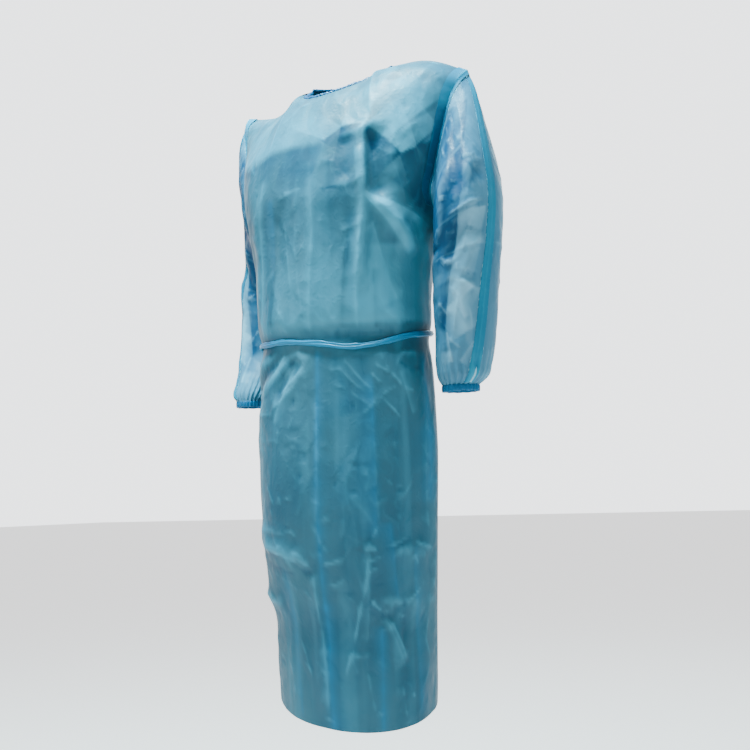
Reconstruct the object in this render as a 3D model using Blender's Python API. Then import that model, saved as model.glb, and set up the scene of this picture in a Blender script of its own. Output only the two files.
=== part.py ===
"""Isolation gown in the shape it takes when worn, with nobody in it.

Metres, +Z up. The front faces -Y and the wearer's left is +X. The origin lies midway between the two
points where the neckline meets the shoulder seams, at the height where the gown rests on the shoulders.

The body of the gown is one smooth form. A point of it is given by its turn, in degrees round from the
centre front towards the wearer's left, and by its drop below the shoulder line. The front and the two
back halves are cut from that form along the neckline, the shoulder seams, the armholes and the side
seams. The sleeves start at the armholes. Tapes, binding, cuffs and belt are made from points of the
piece that they lie on, moved out.
"""

import math

import bmesh
import bpy
import numpy as np

MM = 0.001

# Cloth and seams
CLOTH = 1.2 * MM
TAPE = 1.0 * MM
SEAM_GAP = 0.8 * MM
TAPE_LIFT = 1.3 * MM
TAPE_WIDTH = 20 * MM
TAPE_CORNER_LIFT = 1.3
TAPE_TIP_LIFT = 1.4 * MM
TAPE_TIP_ROWS = 1.6
ARMHOLE_TAPE_FOOT = 9
SLEEVE_TAPE_LIFT = 1.8 * MM
TAPE_PLACES = (-1.0, -0.5, 0.0, 0.5, 1.0)
SLEEVE_TAPE_END = 0.1

# Neckline, a round hole that tilts forward
NECK_RADIUS = 0.086
NECK_CENTRE_Y = -0.020
NECK_SIDE_Z = -0.001
NECK_ROLL = 0.06
NECK_FRONT_TILT = 0.54
NECK_BACK_TILT = 0.16
NECK_SHARE = 0.5
NECK_BACK_RISE = 0.045
NECK_EASE_ROWS = 0.7
BINDING_RADIUS = 2.4 * MM
BINDING_GAP = 2.0 * MM

# Shoulders and armholes
SHOULDER_TIP = (0.243, -0.013, -0.030)
LEFT_CROWN = 0.0165
LEFT_CROWN_POWER = 1.0
RIGHT_CROWN = -0.022
RIGHT_CROWN_POWER = 0.7
ARMHOLE_DROP = 0.300
SIDE_SEAM_TURN = 108.0
SHOULDER_FADE_DROP = 0.30

# Hem, lowest in front of the left hip and highest opposite
HEM_LOW_DROP = 1.195
HEM_HIGH_DROP = 1.110
HEM_LOWEST_TURN = 33.0

# Back opening: the left half lies over the right half
OPENING_TURN_TOP = 190.0
OPENING_TURN_HEM = 216.0
LAP_START_TURN = 128.0
LAP_FULL_TURN = 158.0
LAP_OUT = 3.4 * MM
LAP_IN = 2.6 * MM

# Belt
BELT_FRONT_DROP = 0.501
BELT_BACK_DROP = 0.482
BELT_SAG = 0.019
BELT_SAG_TURN = 38.0
BELT_SAG_SPREAD = 30.0
BELT_RADIUS = 5.0 * MM
BELT_CLEARANCE = 1.6 * MM
BELT_POINTS = 72
KNOT_SIZE = (0.016, 0.009, 0.013)
BELT_END_RADIUS = 4.0 * MM
BELT_END_LENGTH = 0.26
BELT_END_POINTS = 16
KNOT_REACH = 0.95

# Cuffs
CUFF_HEIGHT = 10 * MM
CUFF_THICKNESS = 3.0 * MM
CUFF_SWELL = 1.0 * MM
CUFF_GAP = 0.6 * MM

# Mesh rows and columns
UPPER_ROWS = 10
FRONT_COLUMNS = 36
BACK_COLUMNS = 12
DROP_SEARCH_STEPS = 40

# The form of the body, one row for each section, by its drop below the shoulder line
BODY_COLUMNS = "drop half_width front_depth back_depth centre_x centre_y square"
BODY_SECTIONS = (
    (0.000, 0.262, 0.000, 0.000, 0.000, -0.013, 2.0),
    (0.015, 0.255, 0.048, 0.042, 0.000, -0.013, 2.0),
    (0.050, 0.238, 0.096, 0.072, 0.000, -0.014, 2.1),
    (0.100, 0.224, 0.130, 0.094, 0.000, -0.018, 2.2),
    (0.135, 0.217, 0.145, 0.105, 0.000, -0.022, 2.3),
    (0.175, 0.209, 0.150, 0.114, 0.000, -0.028, 2.4),
    (0.230, 0.199, 0.151, 0.124, 0.000, -0.036, 2.45),
    (0.300, 0.185, 0.145, 0.126, 0.000, -0.044, 2.35),
    (0.350, 0.174, 0.139, 0.126, 0.000, -0.053, 2.2),
    (0.420, 0.168, 0.134, 0.127, 0.000, -0.062, 2.1),
    (0.470, 0.168, 0.134, 0.128, 0.000, -0.063, 2.05),
    (0.502, 0.163, 0.128, 0.123, 0.000, -0.062, 2.0),
    (0.534, 0.167, 0.132, 0.127, 0.000, -0.063, 2.05),
    (0.600, 0.170, 0.134, 0.134, 0.000, -0.064, 2.1),
    (0.680, 0.172, 0.137, 0.137, 0.000, -0.066, 2.1),
    (0.830, 0.168, 0.134, 0.135, 0.000, -0.068, 2.1),
    (0.930, 0.163, 0.125, 0.132, -0.002, -0.062, 2.1),
    (1.010, 0.155, 0.118, 0.130, -0.003, -0.052, 2.1),
    (1.080, 0.154, 0.118, 0.128, -0.004, -0.049, 2.1),
    (1.220, 0.149, 0.115, 0.126, -0.004, -0.050, 2.1),
)

# Rows of the panels below the armhole: where each stretch ends and in how many steps
BODY_ROWS = (
    (0.440, 4),
    (0.484, 1),
    (0.502, 1),
    (0.520, 1),
    (0.560, 1),
    (1.000, 8),
)

# The armhole's edge on each panel, from the shoulder tip down to the side seam
ARMHOLE_COLUMNS = "way front_drop front_turn back_drop back_turn"
ARMHOLE = (
    (0.00, 0.000, 68.0, 0.000, 112.0),
    (0.18, 0.047, 72.5, 0.050, 117.0),
    (0.42, 0.123, 77.0, 0.125, 117.5),
    (0.65, 0.200, 79.5, 0.200, 115.0),
    (0.82, 0.253, 81.0, 0.253, 111.5),
    (0.93, 0.285, 92.0, 0.284, 109.0),
    (1.00, 0.300, 108.0, 0.300, 108.0),
)

# The sleeves, one row for each ring: the line over the outer arm, the line under it and the depth
SLEEVE_COLUMNS = "way outer_x outer_z inner_x inner_z half_depth left_y right_y right_inset"
SLEEVE_SECTIONS = (
    (0.00, 0.243, -0.030, 0.186, -0.300, 0.086, -0.018, -0.014, 0.000),
    (0.07, 0.260, -0.062, 0.193, -0.304, 0.086, -0.022, -0.012, 0.003),
    (0.16, 0.278, -0.118, 0.196, -0.312, 0.084, -0.028, 0.004, 0.012),
    (0.27, 0.298, -0.190, 0.196, -0.326, 0.079, -0.036, 0.032, 0.031),
    (0.39, 0.312, -0.262, 0.195, -0.346, 0.073, -0.042, 0.058, 0.023),
    (0.52, 0.311, -0.335, 0.192, -0.382, 0.066, -0.046, 0.058, 0.005),
    (0.66, 0.304, -0.410, 0.190, -0.428, 0.060, -0.047, 0.044, -0.001),
    (0.82, 0.296, -0.495, 0.189, -0.500, 0.053, -0.046, 0.016, 0.005),
    (0.93, 0.287, -0.553, 0.188, -0.554, 0.047, -0.046, -0.022, 0.011),
    (0.975, 0.279, -0.577, 0.193, -0.577, 0.040, -0.048, -0.040, 0.009),
    (1.00, 0.263, -0.590, 0.202, -0.590, 0.030, -0.050, -0.050, 0.006),
)
SLEEVE_RINGS = 21
ARMHOLE_EASE = 0.30

# Where the seam of each sleeve runs, as an angle from the outer line towards the front
SLEEVE_SEAM_COLUMNS = "way left_angle right_angle"
SLEEVE_SEAM = (
    (0.00, 3.0, 24.0),
    (0.30, 12.0, 44.0),
    (0.60, 21.0, 50.0),
    (0.85, 33.0, 50.0),
    (1.00, 42.0, 50.0),
)

# The largest folds of the body, each a ridge (or a trough, if the height is negative) along a line
FOLD_COLUMNS = "turn_top drop_top turn_end drop_end width height"
FOLDS = (
    (26.0, 0.120, 39.0, 0.440, 0.012, 0.0090),
    (31.0, 0.130, 47.0, 0.280, 0.020, -0.0120),
    (19.0, 0.140, 22.0, 0.240, 0.018, -0.0055),
    (32.0, 0.245, 80.0, 0.360, 0.014, 0.0060),
    (0.0, 0.200, 7.0, 0.490, 0.018, 0.0035),
    (-26.0, 0.220, -52.0, 0.470, 0.018, 0.0040),
    (-13.0, 0.240, -20.0, 0.460, 0.016, -0.0040),
    (56.0, 0.300, 62.0, 0.480, 0.020, -0.0045),
    (-14.0, 0.520, -72.0, 0.600, 0.014, -0.0060),
    (-2.0, 0.525, -26.0, 0.610, 0.013, -0.0050),
    (70.0, 0.560, 72.0, 1.120, 0.030, -0.0045),
    (38.0, 0.560, 40.0, 0.860, 0.026, 0.0040),
    (14.0, 0.620, 16.0, 0.900, 0.024, -0.0035),
    (2.0, 0.890, 4.0, 1.190, 0.014, 0.0080),
    (47.0, 0.820, 19.0, 1.110, 0.014, 0.0075),
    (-60.0, 0.840, 2.0, 0.905, 0.018, 0.0065),
    (-64.0, 0.955, -26.0, 0.970, 0.014, 0.0055),
    (36.0, 0.960, 86.0, 0.975, 0.013, 0.0045),
    (54.0, 0.870, 94.0, 0.882, 0.013, 0.0045),
    (48.0, 0.985, 66.0, 1.080, 0.014, 0.0050),
    (98.0, 0.560, 100.0, 1.150, 0.030, 0.0055),
    (128.0, 0.540, 126.0, 1.130, 0.030, -0.0060),
    (152.0, 0.540, 150.0, 1.130, 0.034, 0.0070),
    (-102.0, 0.560, -100.0, 1.150, 0.030, 0.0050),
    (-128.0, 0.540, -126.0, 1.130, 0.030, -0.0060),
    (-152.0, 0.540, -156.0, 1.130, 0.034, 0.0060),
    (132.0, 0.180, 140.0, 0.470, 0.026, 0.0060),
    (-134.0, 0.180, -142.0, 0.470, 0.026, 0.0060),
    (160.0, 0.220, 164.0, 0.470, 0.028, -0.0050),
    (-164.0, 0.220, -166.0, 0.470, 0.028, -0.0050),
)
FOLD_RADIUS = 0.155

# The largest folds of a sleeve, along the arm and aslant across it
SLEEVE_FOLD_COLUMNS = "angle_top way_top angle_end way_end width height"
SLEEVE_FOLDS = (
    (60.0, 0.08, 74.0, 0.36, 0.016, -0.0060),
    (96.0, 0.16, 110.0, 0.50, 0.016, 0.0050),
    (38.0, 0.22, 60.0, 0.46, 0.014, 0.0050),
    (52.0, 0.44, 96.0, 0.58, 0.014, -0.0050),
    (34.0, 0.50, 70.0, 0.66, 0.014, 0.0045),
    (70.0, 0.62, 52.0, 0.90, 0.013, 0.0045),
    (-40.0, 0.14, -60.0, 0.50, 0.018, -0.0050),
    (-84.0, 0.20, -78.0, 0.62, 0.018, 0.0050),
    (-50.0, 0.56, -84.0, 0.82, 0.015, -0.0045),
)
SLEEVE_FOLD_RADIUS = 0.062
CUFF_GATHERS = 10
CUFF_GATHER_HEIGHT = 1.6 * MM
CUFF_GATHER_START = 0.86

# Finishes: colour, roughness
FINISHES = {
    "coated_cloth": ((0.36, 0.62, 0.74, 1.0), 0.35),
    "seam_tape": ((0.02, 0.32, 0.50, 1.0), 0.30),
    "neck_trim": ((0.20, 0.52, 0.68, 1.0), 0.45),
    "cuff_elastic": ((0.02, 0.22, 0.42, 1.0), 0.50),
}


def unit(vectors):
    """The vectors, each scaled to length one."""
    return vectors / np.maximum(np.linalg.norm(vectors, axis=-1, keepdims=True), 1e-12)


def ease(share):
    """A smooth step from 0 to 1 as the share goes from 0 to 1."""
    share = np.clip(share, 0.0, 1.0)
    return share * share * (3.0 - 2.0 * share)


def mix(first, second, share):
    return first + (second - first) * share


def read(table, names, column, at):
    """A column of a table at any value of its first column, on a smooth curve through the rows."""
    rows = np.array(table, float)
    keys = rows[:, 0]
    values = rows[:, names.split().index(column)]
    slopes = np.gradient(values, keys)
    at = np.clip(at, keys[0], keys[-1])
    index = np.clip(np.searchsorted(keys, at, side="right") - 1, 0, len(keys) - 2)
    span = keys[index + 1] - keys[index]
    t = (at - keys[index]) / span
    rise = values[index + 1] - values[index]
    first = slopes[index] * span
    last = slopes[index + 1] * span
    return values[index] + t * (first + t * (3 * rise - 2 * first - last + t * (first + last - 2 * rise)))


def body_value(column, drop):
    return read(BODY_SECTIONS, BODY_COLUMNS, column, drop)


def ridges(table, names, around, along, radius, along_scale):
    """The height of all folds of a table at places given round the form and along it."""
    index = names.split().index
    total = np.zeros(np.broadcast(around, along).shape)
    for fold in table:
        start = np.array((math.radians(fold[0]) * radius, fold[1] * along_scale))
        end = np.array((math.radians(fold[2]) * radius, fold[3] * along_scale))
        length = np.linalg.norm(end - start)
        line = (end - start) / length
        x = np.radians(around) * radius - start[0]
        y = along * along_scale - start[1]
        way = (x * line[0] + y * line[1]) / length
        aside = x * line[1] - y * line[0]
        ends = ease(way / 0.25) * ease((1.0 - way) / 0.25)
        total = total + fold[index("height")] * ends * np.exp(-((aside / fold[index("width")]) ** 2))
    return total


def shoulder_height(x):
    """The height of the shoulder line. The left shoulder is full, and the right one hangs a little."""
    share = np.clip((np.abs(x) - NECK_RADIUS) / (SHOULDER_TIP[0] - NECK_RADIUS), 0.0, 1.0)
    crown = np.where(
        x > 0,
        LEFT_CROWN * np.sin(np.pi * share**LEFT_CROWN_POWER),
        RIGHT_CROWN * np.sin(np.pi * share**RIGHT_CROWN_POWER),
    )
    neck = NECK_SIDE_Z + NECK_ROLL * np.clip(x, -NECK_RADIUS, NECK_RADIUS)
    return mix(neck, SHOULDER_TIP[2], share) + crown


def body_points(turn, drop):
    """Points on the plain form of the body."""
    turn, drop = np.broadcast_arrays(np.asarray(turn, float), np.asarray(drop, float))
    sine, cosine = np.sin(np.radians(turn)), np.cos(np.radians(turn))
    power = 2.0 / body_value("square", drop)
    across = np.sign(sine) * np.abs(sine) ** power * body_value("half_width", drop)
    depth = np.where(cosine > 0, body_value("front_depth", drop), body_value("back_depth", drop))
    x = body_value("centre_x", drop) + across
    y = body_value("centre_y", drop) - np.sign(cosine) * np.abs(cosine) ** power * depth
    fade = 1.0 - ease(drop / SHOULDER_FADE_DROP)
    rise = NECK_BACK_RISE * np.where(cosine < 0, cosine**2, 0.0) * np.exp(-((x / 0.11) ** 4))
    z = (shoulder_height(x) + rise) * fade - drop
    return np.stack((x, y, z), axis=-1)


def outwards(points, drop):
    """Level directions away from the middle of the body."""
    middle = np.stack((body_value("centre_x", drop), body_value("centre_y", drop)), axis=-1)
    away = points[..., :2] - middle
    return unit(np.concatenate((away, np.zeros_like(away[..., :1])), axis=-1))


def neckline(angle, side):
    """Points of the neckline on one side. The angle goes from 0 at the front to 180 at the back."""
    sine, cosine = np.sin(np.radians(angle)), np.cos(np.radians(angle))
    tilt = np.where(cosine > 0, NECK_FRONT_TILT, NECK_BACK_TILT)
    x = side * NECK_RADIUS * sine
    y = NECK_CENTRE_Y - NECK_RADIUS * cosine
    return np.stack((x, y, NECK_SIDE_Z + NECK_ROLL * x + tilt * (y - NECK_CENTRE_Y)), axis=-1)


def turn_at(x, drop):
    """The turn, from 0 to 90, at which the form is as wide as x."""
    share = np.clip(np.abs(x) / body_value("half_width", drop), 0.0, 0.999)
    return np.degrees(np.arcsin(share ** (body_value("square", drop) / 2.0)))


def drop_at(x, y, back):
    """The drop at which the form passes through x and y, found by halving the range again and again."""
    low, high = np.zeros_like(x), np.full_like(x, ARMHOLE_DROP / 2)
    for _ in range(DROP_SEARCH_STEPS):
        middle = (low + high) / 2
        turn = turn_at(x, middle)
        found = body_points(180.0 - turn if back else turn, middle)[..., 1]
        short = found < y if back else found > y
        low, high = np.where(short, middle, low), np.where(short, high, middle)
    return (low + high) / 2


def top_edge(share, neck_end, side):
    """The top edge of a panel: along the neckline from neck_end to the shoulder seam, then to the tip.

    The share is 0 at the centre of the gown and 1 at the tip of the shoulder. The side is 1 for the
    wearer's left and -1 for the right.
    """
    neck = neckline(mix(neck_end, 90.0, np.clip(share / NECK_SHARE, 0.0, 1.0)), side)
    way = np.clip((share - NECK_SHARE) / (1.0 - NECK_SHARE), 0.0, 1.0)
    x = side * mix(NECK_RADIUS, SHOULDER_TIP[0], way)
    y = mix(NECK_CENTRE_Y, SHOULDER_TIP[1], way)
    seam = np.stack((x, y, shoulder_height(x)), axis=-1)
    return np.where((share < NECK_SHARE)[..., None], neck, seam)


def lower_drops():
    """The drops of the rows below the armhole, as shares of the way from the armhole to the hem."""
    drops = [ARMHOLE_DROP]
    for drop, steps in BODY_ROWS:
        drops.extend(np.linspace(drops[-1], drop, steps + 1)[1:])
    drops.extend(np.linspace(drops[-1], HEM_HIGH_DROP, 5)[1:])
    return np.array(drops)


def hem_drop(turn):
    return mix(HEM_HIGH_DROP, HEM_LOW_DROP, 0.5 + 0.5 * np.cos(np.radians(turn - HEM_LOWEST_TURN)))


def panel(columns, back, side):
    """Turns, drops and points of one half of the body, from its centre to its armhole and side seam.

    The grid has a row for each height, from the top edge to the hem, and its last column lies at the
    armhole and the side seam. For the back, the first column is the edge of the back opening.
    """
    share = np.linspace(0.0, 1.0, columns + 1)[None, :]
    way = np.linspace(0.0, 1.0, UPPER_ROWS + 1)[:, None] ** 1.25
    face = "back" if back else "front"
    edge_drop = read(ARMHOLE, ARMHOLE_COLUMNS, face + "_drop", way)
    edge_turn = read(ARMHOLE, ARMHOLE_COLUMNS, face + "_turn", way)
    centre_turn = mix(OPENING_TURN_TOP, opening_turn(ARMHOLE_DROP), way) if back else 0.0 * way
    neck_end = OPENING_TURN_TOP if back else 0.0

    # The top edge, and the place on the plain form that lies under it
    top = top_edge(share[0], neck_end, side)
    top_drop = drop_at(top[:, 0], top[:, 1], back)
    lean = turn_at(top[:, 0], top_drop) * np.sign(top[:, 0]) * side
    top_turn = (180.0 - lean if back else lean)[None, :]

    # Upper rows: from the top edge down to the level of the armhole's foot
    down = mix(way, edge_drop / ARMHOLE_DROP, share**3)
    drop = mix(top_drop, ARMHOLE_DROP, down)
    even_turn = mix(centre_turn, edge_turn, share)
    start = top_turn + (edge_turn - edge_turn[0]) * share
    turn = mix(start, even_turn, ease(way / 0.8))
    points = body_points(side * turn, drop)
    lift = top - points[0]
    points = points + lift * (1.0 - ease(way / NECK_EASE_ROWS))[..., None]

    # Lower rows: round the body to the side seam, down to the hem
    low = lower_drops()[1:, None]
    centre = opening_turn(low) if back else 0.0 * low
    low_turn = mix(centre, SIDE_SEAM_TURN, share)
    hem_share = (low - ARMHOLE_DROP) / (HEM_HIGH_DROP - ARMHOLE_DROP)
    low_drop = low + (hem_drop(side * low_turn) - HEM_HIGH_DROP) * ease(hem_share * 1.6 - 0.6)
    turn = side * np.concatenate((turn, low_turn))
    drop = np.concatenate((drop, low_drop))
    points = np.concatenate((points, body_points(side * low_turn, low_drop)))
    return turn, drop, points


def opening_turn(drop):
    """The turn of the edge of the back opening."""
    return mix(OPENING_TURN_TOP, OPENING_TURN_HEM, ease(drop / HEM_HIGH_DROP))


def fold_height(turn, drop):
    """Folds of the body. They fade out towards the seams at the top."""
    calm = ease((drop - 0.06) / 0.08)
    return ridges(FOLDS, FOLD_COLUMNS, turn, drop, FOLD_RADIUS, 1.0) * calm


def dressed(turn, drop, points, lap):
    """The points with their folds, and moved out or in where the back halves lie over each other."""
    wrapped = (turn + 180.0) % 360.0 - 180.0
    away = fold_height(wrapped, drop)
    away = away + lap * ease((np.abs(turn) - LAP_START_TURN) / (LAP_FULL_TURN - LAP_START_TURN))
    return points + outwards(points, drop) * away[..., None]


def front_grid():
    """The front: its right half, then its left half, as one grid from right to left."""
    right = [part[:, :0:-1] for part in panel(FRONT_COLUMNS // 2, False, -1)]
    left = panel(FRONT_COLUMNS // 2, False, 1)
    turn, drop, points = (np.concatenate(pair, axis=1) for pair in zip(right, left))
    return dressed(turn, drop, points, 0.0)


def back_grid(side):
    """A back half, from its side seam to the opening. The side is 1 for the left and -1 for the right."""
    turn, drop, points = (part[:, ::-1] for part in panel(BACK_COLUMNS, True, side))
    return dressed(turn, drop, points, LAP_OUT if side > 0 else -LAP_IN)


def normals_of(grid, closed=False):
    """Unit normals of a grid of points, to the left of the way down when it is seen from outside."""
    if closed:
        across = np.roll(grid, -1, axis=1) - np.roll(grid, 1, axis=1)
    else:
        across = np.gradient(grid, axis=1)
    down = np.gradient(grid, axis=0)
    return unit(np.cross(down, across))


def shrink_edges(grid, edges):
    """Moves the named edges of a grid inwards by half a seam gap, and returns the moves."""
    moved = grid.copy()
    for edge in edges:
        here, inner = {
            "top": (np.s_[0, :], np.s_[1, :]),
            "bottom": (np.s_[-1, :], np.s_[-2, :]),
            "first": (np.s_[:, 0], np.s_[:, 1]),
            "last": (np.s_[:, -1], np.s_[:, -2]),
        }[edge]
        moved[here] += unit(grid[inner] - grid[here]) * SEAM_GAP / 2
    return moved - grid


def finish(name):
    """The plain material of one finish."""
    found = bpy.data.materials.get(name)
    if found:
        return found
    colour, roughness = FINISHES[name]
    made = bpy.data.materials.new(name)
    made.use_nodes = True
    shader = made.node_tree.nodes["Principled BSDF"]
    shader.inputs["Base Color"].default_value = colour
    shader.inputs["Roughness"].default_value = roughness
    shader.inputs["Metallic"].default_value = 0.0
    return made


def add_object(name, data, finish_name, gown):
    obj = bpy.data.objects.new(name, data)
    data.materials.append(finish(finish_name))
    bpy.data.collections["isolation_gown"].objects.link(obj)
    obj.parent = gown
    return obj


def wall(name, outer, normals, thickness, finish_name, gown, closed=False):
    """A cloth wall: the outer grid, the same grid moved in along its normals, and the rims between."""
    shell = bmesh.new()
    rows, columns = outer.shape[:2]
    skins = []
    for points in (outer, outer - normals * thickness):
        skins.append([[shell.verts.new(point) for point in row] for row in points])
    last = columns if closed else columns - 1
    for row in range(rows - 1):
        for column in range(last):
            following = (column + 1) % columns
            for skin, flip in zip(skins, (False, True)):
                corners = [
                    skin[row][column],
                    skin[row + 1][column],
                    skin[row + 1][following],
                    skin[row][following],
                ]
                shell.faces.new(corners[::-1] if flip else corners)
    for row, flip in ((0, False), (rows - 1, True)):
        for column in range(last):
            following = (column + 1) % columns
            corners = [skins[0][row][column], skins[0][row][following]]
            corners += [skins[1][row][following], skins[1][row][column]]
            shell.faces.new(corners[::-1] if flip else corners)
    if not closed:
        for column, flip in ((0, True), (columns - 1, False)):
            for row in range(rows - 1):
                corners = [skins[0][row][column], skins[0][row + 1][column]]
                corners += [skins[1][row + 1][column], skins[1][row][column]]
                shell.faces.new(corners[::-1] if flip else corners)
    bmesh.ops.recalc_face_normals(shell, faces=shell.faces)
    mesh = bpy.data.meshes.new(name)
    shell.to_mesh(mesh)
    shell.free()
    mesh.shade_smooth()
    return add_object(name, mesh, finish_name, gown)


def rope(name, path, radius, sides, finish_name, gown, closed=False):
    """A round tube along a path, with filled ends unless it is closed."""
    curve = bpy.data.curves.new(name, "CURVE")
    curve.dimensions = "3D"
    curve.bevel_depth = radius
    curve.bevel_resolution = sides // 2 - 2
    curve.use_fill_caps = not closed
    spline = curve.splines.new("POLY")
    spline.points.add(len(path) - 1)
    for target, point in zip(spline.points, path):
        target.co = (*point, 1.0)
    spline.use_cyclic_u = closed
    return add_object(name, curve, finish_name, gown)


def sleeve_value(column, way):
    return read(SLEEVE_SECTIONS, SLEEVE_COLUMNS, column, way)


def sleeve_ways():
    """The rings of a sleeve, as shares of its length."""
    return np.linspace(0.0, 1.0, SLEEVE_RINGS + 1)[:, None] ** 1.1


def sleeve_grid(side, armhole):
    """A sleeve as rings. Each ring starts over the outer arm and goes round by the front."""
    count = len(armhole)
    angle = np.arange(count) * 2.0 * np.pi / count
    way = sleeve_ways()
    over = 0.5 + 0.5 * np.cos(angle)
    inset = 0.0 if side > 0 else sleeve_value("right_inset", way)
    y_middle = sleeve_value("left_y" if side > 0 else "right_y", way)
    x = mix(sleeve_value("inner_x", way), sleeve_value("outer_x", way) - inset, over)
    z = mix(sleeve_value("inner_z", way), sleeve_value("outer_z", way), over)
    y = y_middle - sleeve_value("half_depth", way) * np.sin(angle)
    rings = np.stack((x * side, y, z), axis=-1)
    from_armhole = armhole + rings - rings[0]
    free = ease(way / ARMHOLE_EASE)[..., None]
    rings = mix(from_armhole, rings, free)

    # Folds, then the gathers above the cuff
    degrees = np.degrees((angle + np.pi) % (2 * np.pi) - np.pi)
    arm = 0.60
    height = ridges(
        SLEEVE_FOLDS, SLEEVE_FOLD_COLUMNS, degrees[None, :], way, SLEEVE_FOLD_RADIUS, arm
    )
    gathers = np.cos(angle * CUFF_GATHERS) * CUFF_GATHER_HEIGHT
    height = height + gathers * ease((way - CUFF_GATHER_START) / (1.0 - CUFF_GATHER_START))
    middle = rings.mean(axis=1, keepdims=True)
    return rings + unit(rings - middle) * height[..., None]


def walk(line, distance):
    """The point at a distance along a line of points, as an index and a share of the next step."""
    steps = np.linalg.norm(np.diff(line, axis=0), axis=1)
    reach = np.concatenate(((0.0,), np.cumsum(steps)))
    index = int(np.clip(np.searchsorted(reach, distance, side="right") - 1, 0, len(steps) - 1))
    return index, (distance - reach[index]) / steps[index]


def armhole_strip(seam, body, sleeve, body_normals, sleeve_normals, seam_normals):
    """Points and normals of the tape over an armhole seam, half on the body and half on the sleeve."""
    points, normals = [], []
    for index in range(len(seam)):
        row, facing = [], []
        at, share = walk(body[index], TAPE_WIDTH / 2)
        row.append(mix(body[index][at], body[index][at + 1], share))
        facing.append(mix(body_normals[index][at], body_normals[index][at + 1], share))
        row.append(seam[index])
        facing.append(seam_normals[index] * TAPE_CORNER_LIFT)
        at, share = walk(sleeve[index], TAPE_WIDTH / 2)
        row.append(mix(sleeve[index][at], sleeve[index][at + 1], share))
        facing.append(mix(sleeve_normals[index][at], sleeve_normals[index][at + 1], share))
        points.append(row)
        normals.append(facing)
    points, normals = np.array(points), np.array(normals)
    from_tip = (np.arange(len(seam)) - len(seam) // 2) / TAPE_TIP_ROWS
    lift = TAPE_LIFT + TAPE + TAPE_TIP_LIFT * np.exp(-(from_tip**2))
    return points + normals * lift[:, None, None], unit(normals)


def ring_place(grid, row, angle):
    """A point on a ring of the sleeve at an angle from the outer line towards the front."""
    count = grid.shape[1]
    place = (angle / 360.0 * count) % count
    first = int(place)
    return mix(grid[row, first], grid[row, (first + 1) % count], place - first)


def sleeve_strip(side, grid, normals, way):
    """Points and normals of the tape down a sleeve's seam, from just below the armhole's tape."""
    points, facing = [], []
    column = "left_angle" if side > 0 else "right_angle"
    index, share = walk(grid[:, 0], TAPE_WIDTH / 2 + SLEEVE_TAPE_LIFT)
    last = len(grid) - 1
    for at in (index + share, *range(index + 1, last), last - SLEEVE_TAPE_END):
        row, share = int(at), at - int(at)
        centre = float(read(SLEEVE_SEAM, SLEEVE_SEAM_COLUMNS, column, mix(way[row], way[row + 1], share)))
        girth = np.linalg.norm(grid[row] - np.roll(grid[row], 1, axis=0), axis=1).sum()
        half = TAPE_WIDTH / 2 / girth * 360.0
        angles = [centre + half * place for place in TAPE_PLACES]
        for found, source in ((points, grid), (facing, normals)):
            found.append(
                [mix(ring_place(source, row, a), ring_place(source, row + 1, a), share) for a in angles]
            )
    points, facing = np.array(points), unit(np.array(facing))
    return points + facing * (SLEEVE_TAPE_LIFT + TAPE), facing


def body_grids():
    """The grids of the three panels, and their normals."""
    grids = {"front": front_grid(), "left": back_grid(1), "right": back_grid(-1)}
    normals = {
        "front": normals_of(grids["front"]),
        "left": normals_of(grids["left"]),
        "right": -normals_of(grids["right"]),
    }
    return grids, normals


def share_normals(first, second):
    """The mean normal of two pieces at their seam, given to both."""
    mean = unit(first + second)
    first[:] = mean
    second[:] = mean


def stand_up(normals, points, columns):
    """Turns the normals along a shoulder seam straight up from the seam."""
    run = np.gradient(points[0, columns], axis=0)
    up = np.cross(run, (0.0, 1.0, 0.0))
    normals[0, columns] = unit(up * np.sign(up[:, 2:]))


def belt_drop(turn):
    sag = BELT_SAG * np.exp(-(((turn - BELT_SAG_TURN) / BELT_SAG_SPREAD) ** 2))
    return mix(BELT_BACK_DROP, BELT_FRONT_DROP, 0.5 + 0.5 * np.cos(np.radians(turn))) + sag


def belt_points(turn, drop, clearance):
    """Points outside both back halves and every fold, for what lies on the body."""
    turn, drop = np.broadcast_arrays(np.asarray(turn, float), np.asarray(drop, float))
    surface = dressed(turn, drop, body_points(turn, drop), LAP_OUT)
    return surface + outwards(surface, drop) * clearance


def build_tapes(gown, side, grids, normals, sleeve, sleeve_normals, seam_normals):
    """The tape over one armhole seam and the tape down the same sleeve's seam."""
    name = "left" if side > 0 else "right"
    upper = UPPER_ROWS + 1
    body_front = grids["front"][:upper, ::-side]
    body_front_normals = normals["front"][:upper, ::-side]
    count = sleeve.shape[1]

    # From the foot of the armhole up the front to the shoulder tip, then down the back
    rows = [(body_front[row], body_front_normals[row], row) for row in range(ARMHOLE_TAPE_FOOT, -1, -1)]
    rows += [
        (grids[name][row], normals[name][row], (count - row) % count)
        for row in range(1, ARMHOLE_TAPE_FOOT + 1)
    ]
    loop = [entry[2] for entry in rows]
    points, facing = armhole_strip(
        sleeve[0, loop],
        [entry[0] for entry in rows],
        [sleeve[:, index] for index in loop],
        [entry[1] for entry in rows],
        [sleeve_normals[:, index] for index in loop],
        seam_normals[loop],
    )
    wall("armhole_tape_" + name, points, facing, TAPE, "seam_tape", gown)

    way = sleeve_ways()[:, 0]
    points, facing = sleeve_strip(side, sleeve, sleeve_normals, way)
    wall("sleeve_tape_" + name, points, facing, TAPE, "seam_tape", gown)


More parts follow.
